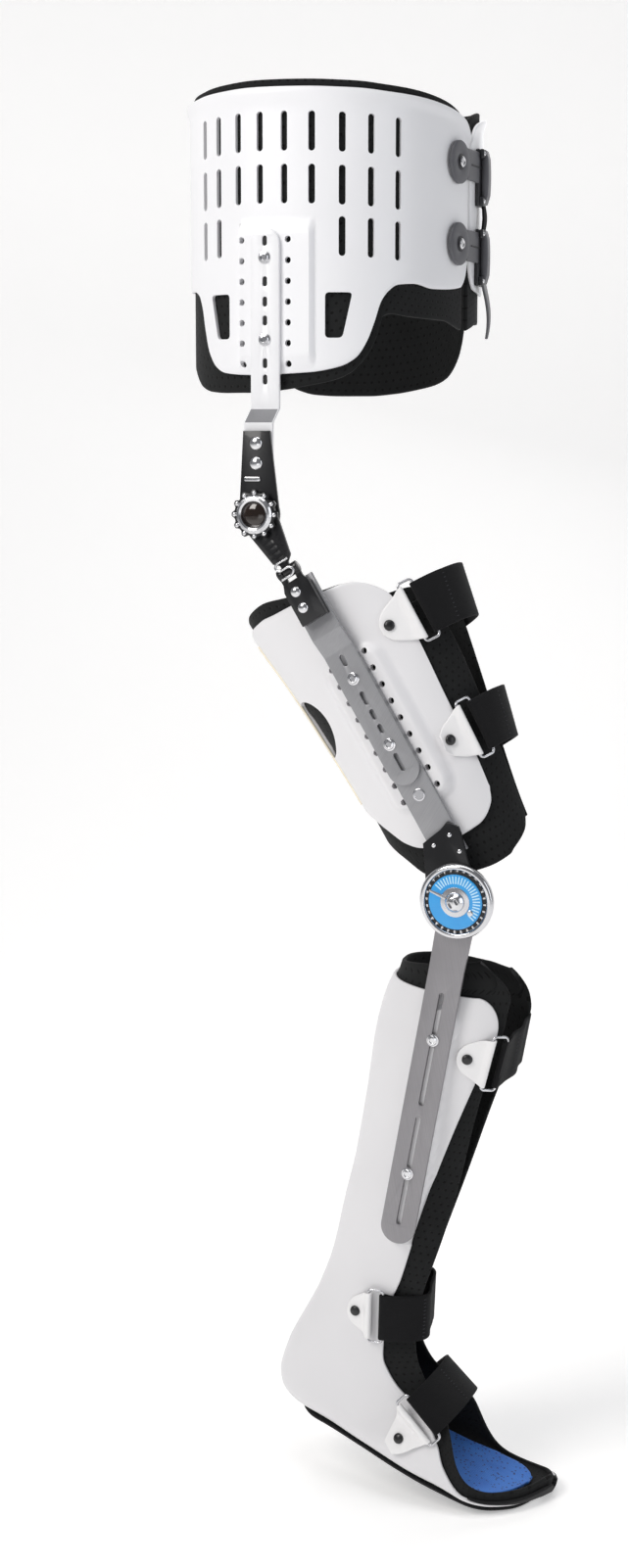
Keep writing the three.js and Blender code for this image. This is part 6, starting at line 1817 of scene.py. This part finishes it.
# %% Back bands
for label, height in (("upper", 40), ("lower", -18)):
    places = np.linspace(0.87, 1.13, 60)[:, None] * GIRTH
    heights = height + 19 * np.linspace(-1, 1, 14)[None, :]
    band = link(f"rear_band_{label}",
                closed_wall(ring_skin(places, 2.3, heights), ring_skin(places, 0.4, heights), 0.5),
                webbing_black, "pelvis", "strap_webbing", [f"back_strap_{label}"])
    ends = []
    for edge in (0.885, 1.115):
        for k in np.linspace(-15, 15, 9):
            ends.append((edge * GIRTH, height + k))
    spots = np.array([ring_skin(place, 2.35, z) for place, z in ends])
    ways = np.array([ring_out(np.array(place)) for place, z in ends])
    repeated_piece(f"rear_stitches_{label}", "pelvis", BARS, spots, ways, (0, 0, 1), thread_black,
                   "strap_webbing", Size=(0.0006, 0.0022, 0.0004))
print("closures made")

# %% [markdown]
# A pale floor curves up into a backdrop, and neither is part of the object. Big soft lamps
# stand on both sides and above, so that metal and gloss have something bright to reflect.

# %% Floor and backdrop
floor_z = cad_box[0][2] - 0.0015
profile = [(6.0, 0.0), (-1.2, 0.0)]
for k in range(1, 17):
    a = math.pi / 2 * k / 16
    profile.append((-1.2 - 1.4 * math.sin(a), 1.4 * (1 - math.cos(a))))
profile.append((-2.6, 5.5))
ahead = Vector((math.sin(azimuth), -math.cos(azimuth), 0))
aside = Vector((math.cos(azimuth), math.sin(azimuth), 0))
points, faces = [], []
for along, height in profile:
    for reach in (-6, 6):
        place = ahead * along + aside * reach
        points.append((place.x, place.y, floor_z + height))
for k in range(len(profile) - 1):
    faces.append((2 * k, 2 * k + 1, 2 * k + 3, 2 * k + 2))
mesh = bpy.data.meshes.new("backdrop")
mesh.from_pydata(points, [], faces)
mesh.shade_smooth()
backdrop_paint = Finish("backdrop_paint", 0.9)
mottle = backdrop_paint.group(MOTTLE, Scale=1.5, Spread=0.5)
backdrop_paint.paint(backdrop_paint.mix(mottle.outputs["Share"], "ebeae9", "f1f0ef"))
backdrop_paint.shader.inputs["Emission Color"].default_value = colour("ffffff")
backdrop_paint.shader.inputs["Emission Strength"].default_value = 0.35
backdrop = bpy.data.objects.new("backdrop", mesh)
backdrop.data.materials.append(backdrop_paint.material)
bpy.context.scene.collection.objects.link(backdrop)

# %% Lights
middle = Vector((0.05, -0.12, -0.4))


def lamp(name, azimuth_deg, height_deg, distance, size, power, tint="ffffff"):
    data = bpy.data.lights.new(name, "AREA")
    data.shape, data.size, data.size_y = "RECTANGLE", size[0], size[1]
    data.energy, data.color = power, colour(tint)[:3]
    obj = bpy.data.objects.new(name, data)
    a, h = math.radians(azimuth_deg), math.radians(height_deg)
    away = Vector((math.sin(a) * math.cos(h), -math.cos(a) * math.cos(h), math.sin(h)))
    obj.location = middle + away * distance
    obj.rotation_mode = "QUATERNION"
    obj.rotation_quaternion = away.to_track_quat("Z", "Y")
    bpy.context.scene.collection.objects.link(obj)


lamp("key", -30, 36, 2.6, (1.0, 1.6), 40, "fffdfa")
lamp("fill", 80, 14, 2.6, (1.2, 2.0), 11, "f7faff")
lamp("top", 20, 78, 2.4, (1.6, 1.2), 13)
lamp("low", 10, -6, 2.9, (1.8, 0.7), 4)
lamp("rim", 190, 30, 2.4, (1.2, 1.6), 9)
world = bpy.data.worlds.new("studio")
bpy.context.scene.world = world
world.color = (1, 1, 1)
world.use_nodes = True
background = world.node_tree.nodes["Background"]
background.inputs["Color"].default_value = (0.93, 0.95, 1, 1)
background.inputs["Strength"].default_value = 0.2
bpy.context.scene.view_settings.view_transform = "Standard"
bpy.context.scene.view_settings.look = "None"
